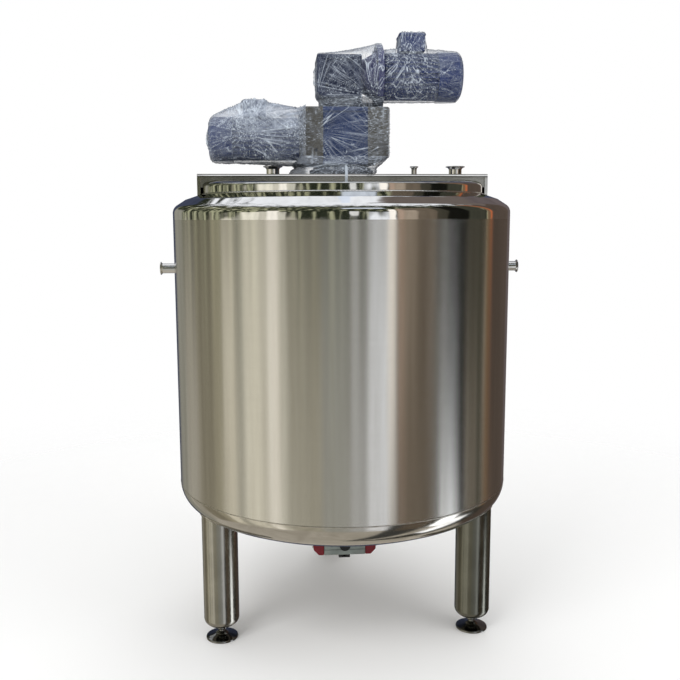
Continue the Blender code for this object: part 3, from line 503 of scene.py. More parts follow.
def dished(radius, rim_z, knuckle, crown, hole, knuckle_steps=24, crown_steps=40):
    """One side of a dished head, from its rim over the knuckle and the crown to the hole."""
    knuckle_x = radius - knuckle
    centre_z = rim_z + math.sqrt((crown - knuckle) ** 2 - knuckle_x**2)
    meeting = math.degrees(math.asin(knuckle_x / (crown - knuckle)))
    inner = math.degrees(math.asin(hole / crown))
    points = arc((knuckle_x, rim_z), (knuckle, knuckle), 0, meeting - 90, knuckle_steps)
    points += arc((0.0, centre_z), (crown, crown), meeting - 90, inner - 90, crown_steps)[1:]
    return points


def dished_sheet(radius, rim_z, knuckle, crown, hole, *steps):
    """Outer and inner side of a dished head."""
    inner = dished(radius - SHEET, rim_z, knuckle - SHEET, crown - SHEET, hole, *steps)
    return dished(radius, rim_z, knuckle, crown, hole, *steps) + inner[::-1]


def head_height(radius_out):
    """Z of the bottom head's outer side at a distance from the axis."""
    knuckle_x = TANK_RADIUS - HEAD_KNUCKLE
    centre_z = JACKET_BOTTOM + math.sqrt((HEAD_CROWN - HEAD_KNUCKLE) ** 2 - knuckle_x**2)
    meeting_x = knuckle_x * HEAD_CROWN / (HEAD_CROWN - HEAD_KNUCKLE)
    if radius_out <= meeting_x:
        return centre_z - math.sqrt(HEAD_CROWN**2 - radius_out**2)
    return JACKET_BOTTOM - math.sqrt(max(0.0, HEAD_KNUCKLE**2 - (radius_out - knuckle_x) ** 2))


def shoulder_line(offset, steps=14):
    """Outer side of the shoulder: a flatter ring at the neck, a steeper one outside it, and the knuckle."""
    centre = (TANK_RADIUS - SHOULDER_KNUCKLE, JACKET_TOP + SKIRT_HEIGHT)
    radius = SHOULDER_KNUCKLE + offset
    bend = arc(centre, (radius, radius), 90 - OUTER_SLOPE, 0, steps)
    bend_x, bend_z = bend[0]
    inner = math.tan(math.radians(INNER_SLOPE))
    outer = math.tan(math.radians(OUTER_SLOPE))
    ridge_z = bend_z + (bend_x - RIDGE_RADIUS) * outer
    ring = [(RIDGE_RADIUS - out, ridge_z + out * inner) for out in (RIDGE_RADIUS - NECK_RADIUS, 0.003)]
    cone = [(RIDGE_RADIUS + out, ridge_z - out * outer) for out in (0.0, 0.003, bend_x - RIDGE_RADIUS - 0.001)]
    return ring + cone + bend + [(TANK_RADIUS + offset, JACKET_TOP)]


def tank_shells():
    wall = [(TANK_RADIUS, JACKET_TOP), (TANK_RADIUS, JACKET_BOTTOM)]
    wall += [(TANK_RADIUS - SHEET, JACKET_BOTTOM), (TANK_RADIUS - SHEET, JACKET_TOP)]
    shoulder = shoulder_line(0.0) + shoulder_line(-SHEET)[::-1]
    head = dished_sheet(TANK_RADIUS, JACKET_BOTTOM, HEAD_KNUCKLE, HEAD_CROWN, OUTLET_HOLE)
    rim = JACKET_BOTTOM + VESSEL_RIM_RISE
    vessel = [(NECK_RADIUS, NECK_TOP)]
    vessel += dished_sheet(NECK_RADIUS, rim, VESSEL_KNUCKLE, VESSEL_CROWN, OUTLET_HOLE - SHEET, 10, 14)
    vessel += [(NECK_RADIUS - SHEET, NECK_TOP)]
    for name, outline, steel, slot, node in (
        ("wall_skin", wall, WALL_STEEL, BRUSHED_SLOT, "jacket_wall"),
        ("shoulder_skin", shoulder, MIRROR_STEEL, POLISHED_SLOT, "top_shoulder"),
        ("bottom_head_skin", head, HEAD_STEEL, BRUSHED_SLOT, "bottom_head"),
        ("vessel_skin", vessel, MIRROR_STEEL, POLISHED_SLOT, "inner_vessel"),
    ):
        link(turned(name, outline, steel, SHELL_STEPS), node)


def lid_height(distance, share):
    """Height of a half moon lid over its rim. share is 0 at the lid's far edge and 1 at the bridge."""
    height = 0.0
    swell = (LID_TOP - NECK_TOP - LID_EDGE_RISE) * share
    for crown, width in ((LID_EDGE_RISE, LID_EDGE_ROUND), (swell, LID_ROLL)):
        inward = min(1.0, distance / width)
        height += crown * math.sqrt(max(0.0, 1 - (1 - inward) ** 2))
    return height


def lids():
    """Half moon lids at both sides of the bridge. Each rim ends in a short lip that is turned in."""
    rolls = ((LID_EDGE_ROUND, range(0, 90, 10)), (LID_ROLL, range(30, 91, 6)))
    rings = [NECK_RADIUS - size * (1 - math.cos(math.radians(angle))) for size, angles in rolls for angle in angles]
    rings += [(NECK_RADIUS - LID_ROLL) * (1 - step / 10) for step in range(1, 10)] + [0.002]
    outline = [(radius, 0.0) for radius in rings[::-1]]
    outline += [(NECK_RADIUS, -LID_LIP_DEPTH), (NECK_RADIUS - LID_LIP_WIDTH, -LID_LIP_DEPTH)]
    for name, side in (("lid_front", -1), ("lid_back", 1)):
        lid = turned(name + "_skin", outline, MIRROR_STEEL, SHELL_STEPS, closed=False)
        with reworked(lid.data) as shape:
            bmesh.ops.bisect_plane(
                shape,
                geom=shape.verts[:] + shape.edges[:] + shape.faces[:],
                plane_co=(0, side * LID_EDGE_Y, 0),
                plane_no=(0, -side, 0),
                clear_outer=True,
            )
            for vert in shape.verts:
                if vert.co.z < -LID_LIP_DEPTH / 4:
                    vert.co.z = NECK_TOP
                    continue
                share = (side * vert.co.y - NECK_RADIUS) / (LID_EDGE_Y - NECK_RADIUS)
                vert.co.z = NECK_TOP + LID_FLOAT + lid_height(NECK_RADIUS - vert.co.xy.length, share)
        lid.data.set_sharp_from_angle(angle=SHARP_ANGLE)
        link(lid, name)


# Weld beads


def bead(name, path, normals, width, height, material=None):
    """A weld bead along a closed path of points. Its scales are small swellings one after another."""
    points = []
    for index, (point, normal) in enumerate(zip(path, normals)):
        along = (path[(index + 1) % len(path)] - path[index - 1]).normalized()
        across = along.cross(normal).normalized()
        swell = 1.0 + 0.10 * math.sin(index * 2.1) + 0.06 * noise.noise(point * 90)
        for angle in circle(BEAD_SIDES):
            aside = across * math.cos(angle) * width / 2 * swell
            points.append(point + aside + normal * math.sin(angle) * height * swell)
    faces = grid_faces(len(path), BEAD_SIDES, True, True)
    link(mesh_object(name, points, faces, material or WELD_STEEL))


def ring(radius, z, steps):
    return [Vector((radius * math.cos(angle), radius * math.sin(angle), z)) for angle in circle(steps)]


def slanted(points, rise):
    """Normals that point out from the Z axis and up, by rise for each metre out."""
    return [(Vector((point.x, point.y, 0)).normalized() + Vector((0, 0, rise))).normalized() for point in points]


def welds():
    seam = ring(TANK_RADIUS, JACKET_BOTTOM, 900)
    bead("weld_bottom_seam", seam, slanted(seam, 0), 0.0045, 0.0007)
    seam = ring(NECK_RADIUS + 0.001, shoulder_line(0.0)[0][1] + 0.0004, 700)
    bead("weld_neck_seam", seam, slanted(seam, 1.4), 0.008, 0.0022, PIPE_STEEL)


# Legs and feet


def legs():
    for name in ("front_left", "front_right", "rear"):
        low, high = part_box("leg_" + name)
        centre = middle_of(low, high)
        end = (LEG_RADIUS - LEG_END_ROUND, low.z + LEG_END_ROUND)
        outline = [(LEG_RADIUS, high.z)] + arc(end, (LEG_END_ROUND, LEG_END_ROUND), 0, -90, 14)
        outline += [(0.004, low.z), (0.004, high.z)]
        # The right front leg's darker steel is painted shade.
        steel = SHADED_LEG_STEEL if name == "front_right" else LEG_STEEL
        leg = stand(turned("leg_skin_" + name, outline, steel), centre)
        link(leg, "leg_" + name)
        ways = ring(1, 0, 260)
        path = [centre + way * (LEG_RADIUS + BEAD_SINK) for way in ways]
        for point in path:
            point.z = head_height(point.xy.length) - BEAD_SINK
        bead("weld_leg_" + name, path, slanted(ways, -1), 0.009, 0.0028)


def feet():
    """Screwed feet: a nut under the leg, a screw, and a pad that spreads out to the floor."""
    hole = 0.003
    nut = 0.023
    screw = 0.012
    for name in ("front_left", "front_right", "rear"):
        low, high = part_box("foot_" + name)
        centre = middle_of(low, high)
        outline = [(hole, high.z), (nut, high.z), (nut, high.z - 0.016), (screw, high.z - 0.017), (screw, 0.027)]
        outline += [(0.018, 0.024), (0.024, 0.018), (0.042, 0.013)]
        outline += [(high.x - centre.x, 0.008), (high.x - centre.x, 0.0), (hole, 0.0)]
        # The feet's dark steel is painted shade.
        foot = turned("foot_skin_" + name, fillet(outline, 0.003), SHADED_FOOT_STEEL)
        link(stand(foot, centre), "foot_" + name)


# Clamp ferrules


def ferrule(name, length, pipe, flange, flare):
    """A stub of pipe that stands on the origin, with a clamp flange at its top."""
    bore = pipe - PIPE_SHEET
    hub = pipe + (flange - pipe) * 0.35
    outline = [
        (bore, length),
        (flange - 0.004, length),
        (flange, length - 0.0012),
        (flange, length - FERRULE_LIP),
        (hub, length - FERRULE_HEAD),
        (pipe, length - FERRULE_HEAD - flare),
        (pipe, 0.0),
        (bore, 0.0),
    ]
    return turned(name + "_skin", fillet(outline, 0.0012), PIPE_STEEL)


def ferrules():
    top_pipes = (("top_nozzle_small", SMALL_PIPE), ("top_nozzle_large", TOP_PIPE), ("top_nozzle_left", TOP_PIPE))
    for name, pipe in top_pipes:
        low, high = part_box(name)
        piece = ferrule(name, high.z - low.z, pipe, (high.x - low.x) / 2, 0.006)
        link(stand(piece, middle_of(low, high, low.z)), name)
        seam = ring(pipe + 0.0008, 0.0008, 90)
        path = [middle_of(low, high, BRIDGE_HIGH.z) + point for point in seam]
        bead("weld_" + name, path, slanted(seam, 1), 0.004, 0.0016)
    for name, side in (("side_nozzle_left", -1), ("side_nozzle_right", 1)):
        low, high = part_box(name)
        height = (low.z + high.z) / 2
        inner_x = low.x if side > 0 else high.x
        piece = ferrule(name, high.x - low.x, SIDE_PIPE, (high.z - low.z) / 2, 0.003)
        link(stand(piece, (inner_x, 0, height), side * math.radians(90)), name)
        ways = [Vector((0, way.x, way.y)) for way in ring(1, 0, 120)]
        path = [way * (SIDE_PIPE + BEAD_SINK) + Vector((0, 0, height)) for way in ways]
        for point in path:
            point.x = side * (math.sqrt(TANK_RADIUS**2 - point.y**2) + BEAD_SINK)
        normals = [(way + Vector((side, 0, 0))).normalized() for way in ways]
        bead("weld_" + name, path, normals, 0.005, 0.0018)


# Bridge plate, and materials of the solids that stay


def bridge_plate():
    """Top plate of the bridge. Its long edges have a dull lip, a polished slope and a dull foot; the lip and foot are
    in darker steel, which is painted shade.
    """
    low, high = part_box("bridge_top_plate")
    lip_y = high.y - PLATE_SLOPE
    lip_z = high.z - PLATE_LIP
    right = [(lip_y, high.z), (lip_y, lip_z), (high.y, lip_z - PLATE_SLOPE), (high.y, low.z)]
    section = [(low.y + high.y - y, z) for y, z in right[::-1]] + right
    count = len(section)
    points = [(x, y, z) for x in (low.x, high.x) for y, z in section]
    faces = grid_faces(2, count, False, True)
    faces += [tuple(range(count))[::-1], tuple(range(count, 2 * count))]
    plate = mesh_object("bridge_plate_skin", points, faces, BRIDGE_STEEL)
    plate.data.materials.append(SHADED_LIP_STEEL)
    for face in plate.data.polygons:
        # Upright faces get the darker steel: painted shade.
        face.material_index = 1 if abs(face.normal.y) > 0.99 else 0
    with reworked(plate.data) as shape:
        bmesh.ops.recalc_face_normals(shape, faces=shape.faces)
        bmesh.ops.bevel(shape, geom=shape.edges[:], offset=0.0005, segments=2, affect="EDGES")
    plate.data.shade_flat()
    link(plate, "bridge_top_plate")


def solids():
    """Names, material, and the width and segments of the rounding that the edges get."""
    for names, material, width, segments in (
        ("bridge_end_left bridge_end_right", BRIDGE_STEEL, 0.0046, 4),
        # The webs' darker steel is painted shade under the top plate.
        ("bridge_web_front bridge_web_back", SHADED_WEB_STEEL, 0.001, 1),
        ("outlet_pipe outlet_ferrule valve_body valve_disc actuator_bracket", PIPE_STEEL, 0, 0),
        ("lower_motor_body upper_motor_body lower_fan_cowl upper_fan_cowl", BLUE, 0.0008, 1),
        ("lower_terminal_box upper_terminal_box", BLUE, 0.0025, 2),
        ("lower_gearbox", GEARBOX_PAINT, 0, 0),
        ("upper_gearbox", DARK_BLUE, 0, 0),
        ("drive_flange lower_motor_flange upper_adapter", CASTING, 0.0015, 2),
        ("upper_motor_flange", FLANGE_BLUE, 0.0015, 2),
        ("actuator_body", ALLOY, 0, 0),
        ("actuator_cap_left actuator_cap_right", RED, 0, 0),
        ("position_indicator air_port_block", BLACK, 0.0012, 2),
    ):
        for name in names.split():
            NODES[name].material_slots[0].material = material
            if not width:
                continue
            weld = NODES[name].modifiers.new("Weld", "WELD")
            weld.merge_threshold = WELD_DISTANCE
            bevel = NODES[name].modifiers.new("Edge", "BEVEL")
            bevel.width = width
            bevel.segments = segments
            bevel.limit_method = "ANGLE"
            bevel.angle_limit = EDGE_ANGLE


# Bolts


# Rings of a washer and its hexagon head, in diameters of the thread: radius, height and number of sides
WASHER = ((1.05, 0.0, 24), (1.05, 0.14, 24), (0.92, 0.20, 24))
BOLT_RINGS = (*WASHER, (0.90, 0.20, 6), (0.90, 0.72, 6), (0.76, 0.86, 6), (0.01, 0.86, 6))


def bolts(name, spots, size):
    """Bolt heads for a thread of this size. A spot is the place of a head's underside and the way that it points."""
    points = []
    faces = []
    for place, way in spots:
        stand_up = Matrix.Translation(place) @ Vector(way).to_track_quat("Z", "Y").to_matrix().to_4x4()
        first = len(points)
        head = grid_faces(len(BOLT_RINGS), BOLT_STEPS, False, True)
        faces += [tuple(first + point for point in face) for face in head]
        for radius, height, sides in BOLT_RINGS:
            for angle in circle(BOLT_STEPS):
                corner = (angle + math.pi / 6) % (math.pi / 3) - math.pi / 6
                reach = radius * math.cos(math.pi / 6) / math.cos(corner) if sides == 6 else radius
                points.append(stand_up @ (Vector((reach * math.cos(angle), reach * math.sin(angle), height)) * size))
    link(mesh_object(name, points, faces, BOLT))


def all_bolts():
    up = (0, 0, 1)
    angles = [math.radians(22.5 + 45 * number) for number in range(8)]
    eight = [(math.cos(angle), math.sin(angle)) for angle in angles]
    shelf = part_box("drive_flange")[0].z + 0.020
    bolts("drive_flange_bolts", [((0.111 * x, 0.111 * y, shelf), up) for x, y in eight], 0.010)
    low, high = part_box("upper_motor_flange")
    middle = (low.z + high.z) / 2
    spots = [((high.x - 0.023, 0.105 * y, middle + 0.105 * z), (-1, 0, 0)) for y, z in eight]
    bolts("upper_flange_bolts", spots, 0.008)
    low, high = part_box("lower_gearbox")
    inset = 0.014
    top = high.z - inset
    corners = [(low.x + inset, top), (low.x + inset, low.z + inset), (high.x - inset, top)]
    corners += [(PANEL_LEFT - inset, top), (PANEL_RIGHT + inset, top)]
    spots = [((x, y, z), (0, side, 0)) for side, y in ((-1, low.y), (1, high.y)) for x, z in corners]
    bolts("gearbox_bolts", spots, 0.0055)
    for name in ("lower_terminal_box", "upper_terminal_box"):
        low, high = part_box(name)
        inset = 0.01
        columns = (low.x + inset, high.x - inset)
        spots = [((x, y, high.z), up) for x in columns for y in (low.y + inset, high.y - inset)]
        bolts(name + "_screws", spots, 0.004)
    for name, side in (("actuator_cap_left", -1), ("actuator_cap_right", 1)):
        low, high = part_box(name)
        inset = 0.016
        outer = high.x if side > 0 else low.x
        middle = (low.z + high.z) / 2
        rows = (low.y + inset, high.y - inset)
        spots = [((outer, y, middle + rise), (side, 0, 0)) for y in rows for rise in (-inset, inset)]
        bolts(name + "_screws", spots, 0.0045)


# Clear film wrapped round the motors


def film_reach(names, axis, stations, middle, angles, slack):
    """How far taut film lies from the line through middle, for each station and angle about the axis."""
    across = [index for index in range(3) if index != axis]
    edges = []
    for name in names:
        mesh = NODES[name].data
        spots = np.array([vertex.co[:] for vertex in mesh.vertices])
        edges.append(spots[np.array([edge.vertices[:] for edge in mesh.edges])])
    first, last = np.concatenate(edges).transpose(1, 0, 2)
    run = last[:, axis] - first[:, axis]
    slanting = np.abs(run) >= 1e-6
    facing = np.stack([np.cos(angles), np.sin(angles)])
    turn = np.cos(angles[:, None] - angles[None, :])
    turn = np.where(turn > 0.05, turn, np.nan)
    reach = []
    for station in stations:
        share = (station - first[:, axis]) / np.where(slanting, run, 1e9)
        crossing = (share >= 0) & (share <= 1) & slanting
        if not crossing.any():
            reach.append(np.full(len(angles), slack))
            continue
        spots = first[crossing] + (last - first)[crossing] * share[crossing, None]
        support = ((spots[:, across] - middle) @ facing).max(axis=0).clip(0) + slack
        reach.append(np.nanmin(support[None, :] / turn, axis=1))
    return np.array(reach)


def taut_line(stations, heights):
    """The line of a film pulled tight over heights: their upper hull."""
    hull = []
    for point in zip(stations, heights):
        while len(hull) > 1:
            (x0, y0), (x1, y1) = hull[-2:]
            if (y1 - y0) * (point[0] - x0) > (point[1] - y0) * (x1 - x0):
                break
            hull.pop()
        hull.append(point)
    return np.interp(stations, [x for x, _ in hull], [y for _, y in hull])


def smoothed(values, passes, wrap):
    for _ in range(passes):
        if wrap:
            values = (np.roll(values, 1, 1) + 2 * values + np.roll(values, -1, 1)) / 4
        else:
            padded = np.concatenate([values[:1], values, values[-1:]])
            values = (padded[:-2] + 2 * values + padded[2:]) / 4
    return values


def noise_at(spots, scale, shift):
    return np.array([noise.noise(Vector(spot) * scale + Vector(shift)) for spot in spots])


def creases(spots, axis, anchors, seed):
    """Height of the folds, 0 to 1, at each point: folds that radiate from anchors, and crumples between them."""
    folds = np.zeros(len(spots))
    for number, (anchor, length) in enumerate(anchors):
        offset = spots - np.array(anchor)
        distance = np.linalg.norm(offset, axis=1)
        unit = offset / (distance[:, None] + 1e-6)
        near = np.clip(distance / 0.015, 0, 1) / (1 + (distance / length) ** 3)
        for pitch, narrow, weight in ((4.5, 13.0, 1.0), (10.0, 10.0, 0.7)):
            way = Vector((seed, number * 3.1, pitch))
            strength = np.clip(0.8 + noise_at(unit, 3.0, -way), 0, 1)
            lines = np.clip(1 - np.abs(noise_at(unit, pitch, way)) * narrow, 0, 1) ** 1.3 * strength
            folds = np.maximum(folds, lines * near * weight)
    stretch = np.array([26.0, 26.0, 26.0])
    stretch[axis] = 13.0
    patch = np.clip(0.4 + 1.4 * noise_at(spots, 17, (0, seed, 5)), 0, 1)
    for number, (size, weight) in enumerate(((0.8, 0.22), (1.5, 0.09))):
        warp = np.array([noise.noise_vector(Vector(v) * 14 + Vector((seed, 0, number)))[:] for v in spots])
        where = (spots + warp * 0.006) * stretch * size
        where[:, (axis + 1) % 3] += where[:, axis] * 0.5
        nearest = [noise.voronoi(Vector(v))[0] for v in where]
        walls = np.array([second - first for first, second, *others in nearest])
        folds = np.maximum(folds, np.clip(1 - walls * 4.5, 0, 1) ** 1.6 * weight * patch)
    return folds


def mark_folds(item, folds):
    """Tells the film's material where its folds are."""
    item.data.attributes.new("fold", "FLOAT", "POINT").data.foreach_set("value", folds)


def film(
    name, material, names, axis, middle, span, slack, bridge, anchors, depth, seed, caps=(1, 1), rows=150, flare=0
):
    """A sleeve of film round a row of solids, slack clear of them. bridge is how far it is pulled straight between
    their high points, and depth the height of its folds. A cap draws an end in, to that share of its girth. flare
    is how far its low end spreads towards -X."""
    across = [index for index in range(3) if index != axis]
    columns = FILM_COLUMNS
    angles = np.linspace(0, 2 * math.pi, columns, endpoint=False)
    stations = np.linspace(span[0], span[1], rows)
    reach = film_reach(names, axis, stations, np.array(middle), angles, slack)
    tight = np.stack([taut_line(stations, reach[:, column]) for column in range(columns)], axis=1)
    reach = reach + bridge * (tight - reach)
    spread = np.clip(-np.cos(angles), 0, 1) ** 3 * (1 - (stations[:, None] - span[0]) / (span[1] - span[0]))
    reach = smoothed(smoothed(reach + flare * spread, 3, False), 2, True)
    lines = list(zip(stations, reach))
    for at_end, share in enumerate(caps):
        if share >= 1:
            continue
        station, line = lines[-1] if at_end else lines[0]
        sign = 1 if at_end else -1
        extra = []
        for step in range(1, CAP_ROWS + 1):
            part = step / CAP_ROWS
            bulge = CAP_BULGE * math.sin(part * math.pi / 2)
            extra.append((station + sign * bulge, line * (1 - part * (1 - share))))
        lines = lines + extra if at_end else extra[::-1] + lines
    grid = np.zeros((len(lines), columns, 3))
    out = np.zeros_like(grid)
    grid[:, :, axis] = np.array([station for station, line in lines])[:, None]
    for side, centre, part in zip(across, middle, (np.cos(angles), np.sin(angles))):
        grid[:, :, side] = centre + np.array([line for station, line in lines]) * part
        out[:, :, side] = part
    end_rows = len(lines) // 8
    out[:end_rows, :, axis] = -1
    out[-end_rows:, :, axis] = 1
    normal = np.cross(np.gradient(grid, axis=0), np.roll(grid, -1, 1) - np.roll(grid, 1, 1))
    normal /= np.linalg.norm(normal, axis=2, keepdims=True) + 1e-9
    normal *= np.sign((normal * out).sum(axis=2, keepdims=True) + 1e-9)
    spots = grid.reshape(-1, 3)
    folds = creases(spots, axis, anchors, seed)
    lift = depth * (folds + 0.35 * (noise_at(spots, 11, (seed, seed, 0)) + 0.5))
    points = spots + normal.reshape(-1, 3) * lift[:, None]
    faces = grid_faces(len(lines), columns, False, True)
    sleeve = mesh_object(name, points.tolist(), faces, material, sharp=False)
    mark_folds(sleeve, folds)
    return link(sleeve)


def wrap_motors():
    """Film over both geared motors. Folds run out from the places where it was pulled tight or tied: each anchor is
    a place and how far its folds reach."""
    box_low, box_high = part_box("lower_gearbox")
    cowl_low, cowl_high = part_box("lower_fan_cowl")
    terminal_low, terminal_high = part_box("lower_terminal_box")
    axis_z = (cowl_low.z + cowl_high.z) / 2
    names = ["lower_fan_cowl", "lower_motor_body", "lower_motor_flange", "lower_terminal_box", "lower_gearbox"]
    anchors = [
        ((-0.365, -0.085, 1.900), 0.16),
        ((terminal_low.x, -0.03, terminal_high.z), 0.10),
        ((-0.40, -0.06, 1.97), 0.10),
        ((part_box("lower_motor_flange")[0].x, -0.09, axis_z + 0.02), 0.12),
        ((-0.27, -0.08, axis_z - 0.07), 0.10),
        ((cowl_low.x, -0.04, axis_z - 0.05), 0.08),
    ]
    span = (cowl_low.x - 0.001, box_low.x + 0.012)
    sleeve = film(
        "film_lower_motor", FILM_DENSE, names, 0, (0.0, axis_z), span,
        slack=0.003, bridge=0.85, caps=(0.12, 1), anchors=anchors, depth=0.008, seed=3.0,
    )
    anchors = [
        ((-0.106, -0.105, 1.911), 0.20),
        ((0.150, -0.105, 1.857), 0.20),
        ((0.0, -0.12, box_low.z), 0.10),
        ((box_high.x, -0.1, box_high.z), 0.12),
        ((0.13, -0.105, 1.93), 0.08),
    ]
    middle = ((box_low.x + box_high.x) / 2, 0.0)
    span = (box_low.z + 0.004, box_high.z + 0.001)
    sleeve = film(
        "film_lower_gearbox", FILM_THIN, ["lower_gearbox"], 2, middle, span,
        slack=0.0025, bridge=0.25, caps=(1, 0.62), anchors=anchors, depth=0.005, seed=8.0,
    )
    names = ["drive_flange", "lower_gearbox"]
    anchors = [((-0.16, -0.08, box_low.z), 0.12), ((0.0, -0.12, box_low.z), 0.12), ((0.08, -0.1, box_low.z), 0.10)]
    span = (BRIDGE_HIGH.z + 0.0015, box_low.z + 0.030)
    sleeve = film(
        "film_skirt", FILM_SKIRT, names, 2, (-0.010, 0.0), span,
        slack=0.004, bridge=0.75, anchors=anchors, depth=0.009, seed=17.0, rows=50, flare=0.075,
    )
    low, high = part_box("upper_adapter")
    names = ["upper_adapter", "upper_motor_flange", "upper_gearbox"]
    anchors = [((0.109, -0.095, 2.004), 0.10), ((-0.05, -0.08, low.z), 0.07)]
    span = (box_high.z - 0.006, high.z + 0.006)
    sleeve = film(
        "film_neck", FILM_NECK, names, 2, (0.02, 0.0), span,
        slack=0.004, bridge=0.5, anchors=anchors, depth=0.007, seed=31.0, rows=60,
    )
    box_low, box_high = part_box("upper_gearbox")
    flange_low, flange_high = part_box("upper_motor_flange")
    cowl_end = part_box("upper_fan_cowl")[1].x
    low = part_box("upper_terminal_box")[0]
    axis_z = (flange_low.z + flange_high.z) / 2
    names = ["upper_gearbox", "upper_motor_flange"]
    anchors = [
        ((0.115, -0.10, 2.035), 0.22),
        ((flange_high.x, -0.09, axis_z + 0.06), 0.14),
        ((box_low.x, -0.09, box_low.z + 0.01), 0.14),
        ((0.0, -0.09, box_high.z), 0.08),
    ]
    span = (box_low.x - 0.001, flange_high.x - 0.002)
    sleeve = film(
        "film_upper_gearbox", FILM_TIGHT, names, 0, (0.0, axis_z - 0.005), span,
        slack=0.0025, bridge=0.9, caps=(0.5, 1), anchors=anchors, depth=0.006, seed=13.0,
    )
    names = ["upper_motor_flange", "upper_motor_body", "upper_fan_cowl", "upper_terminal_box"]
    anchors = [
        ((0.233, -0.085, 2.185), 0.17),
        ((low.x, -0.04, low.z), 0.08),
        ((flange_high.x + 0.01, -0.09, axis_z - 0.07), 0.16),
        ((0.32, -0.08, axis_z - 0.03), 0.10),
        ((cowl_end, -0.05, axis_z), 0.06),
    ]
    span = (flange_high.x - 0.004, cowl_end + 0.0005)
    sleeve = film(
        "film_upper_motor", FILM_TIGHT, names, 0, (0.0, axis_z), span,
        slack=0.002, bridge=0.18, caps=(1, 0.15), anchors=anchors, depth=0.006, seed=21.0,
    )


def tie_strip():
    """Loose end of the wrapping: a narrow strip that hangs from the skirt over the edge of the bridge."""
    half = 0.0052
    # How white the strip is along its length: partly the film's own whitening, partly painted highlight.
    whiteness = 0.55
    points = []
    path = (
        (0.009, 0.016, 0.032),
        (0.009, 0.007, 0.014),
        (0.0088, 0.001, 0.004),
        (0.0086, -0.0018, -0.002),
        (0.0084, -0.0022, -0.012),
        (0.0082, -0.0010, -0.022),
        (0.0080, 0.0016, -0.036),
        (0.0078, 0.001, -0.050),
    )
    for index, (x, inward, rise) in enumerate(path):
        y = BRIDGE_LOW.y + inward
        z = BRIDGE_HIGH.z + rise
        curl = 0.0006 * math.sin(index * 1.3)
        points += [(x - half, y - curl, z), (x, y - 0.0007, z), (x + half, y + curl, z)]
    strip = mesh_object("film_strip", points, grid_faces(len(path), 3, False, False), FILM_SKIRT)
    smooth = strip.modifiers.new("Smooth", "SUBSURF")
    smooth.levels = 2
    smooth.render_levels = 2
    mark_folds(strip, [whiteness] * len(points))
    link(strip)


# Studio


def camera():
    data = bpy.data.cameras.new("camera")
    data.lens = CAMERA_LENS
    item = bpy.data.objects.new("camera", data)
    bpy.context.scene.collection.objects.link(item)
    item.matrix_world = (
        Matrix.Translation(CAMERA_PLACE)
        @ Matrix.Rotation(CAMERA_TURN, 4, "Z")
        @ Matrix.Rotation(math.pi / 2 - CAMERA_TILT, 4, "X")
        @ Matrix.Rotation(CAMERA_ROLL, 4, "Z")
    )
    bpy.context.scene.camera = item


def floor():
    """A pale floor that fades out round the tank, and that the steel doesn't mirror."""
    mesh = bpy.data.meshes.new("floor")
    with reworked(mesh) as shape:
        bmesh.ops.create_grid(shape, x_segments=1, y_segments=1, size=12.0)
    recipe = Recipe("studio_floor", base_color=(0.93, 0.93, 0.925), roughness=0.9)
    distance = recipe.vector_math("LENGTH", recipe.here(), output="Value")
    mesh.materials.append(recipe.finish(alpha=recipe.step(distance, 1.2, 4.0, 1.0, 0.0)))
    item = bpy.data.objects.new("floor", mesh)
    item.location.z = -0.0005
    bpy.context.scene.collection.objects.link(item)
    item.visible_glossy = False


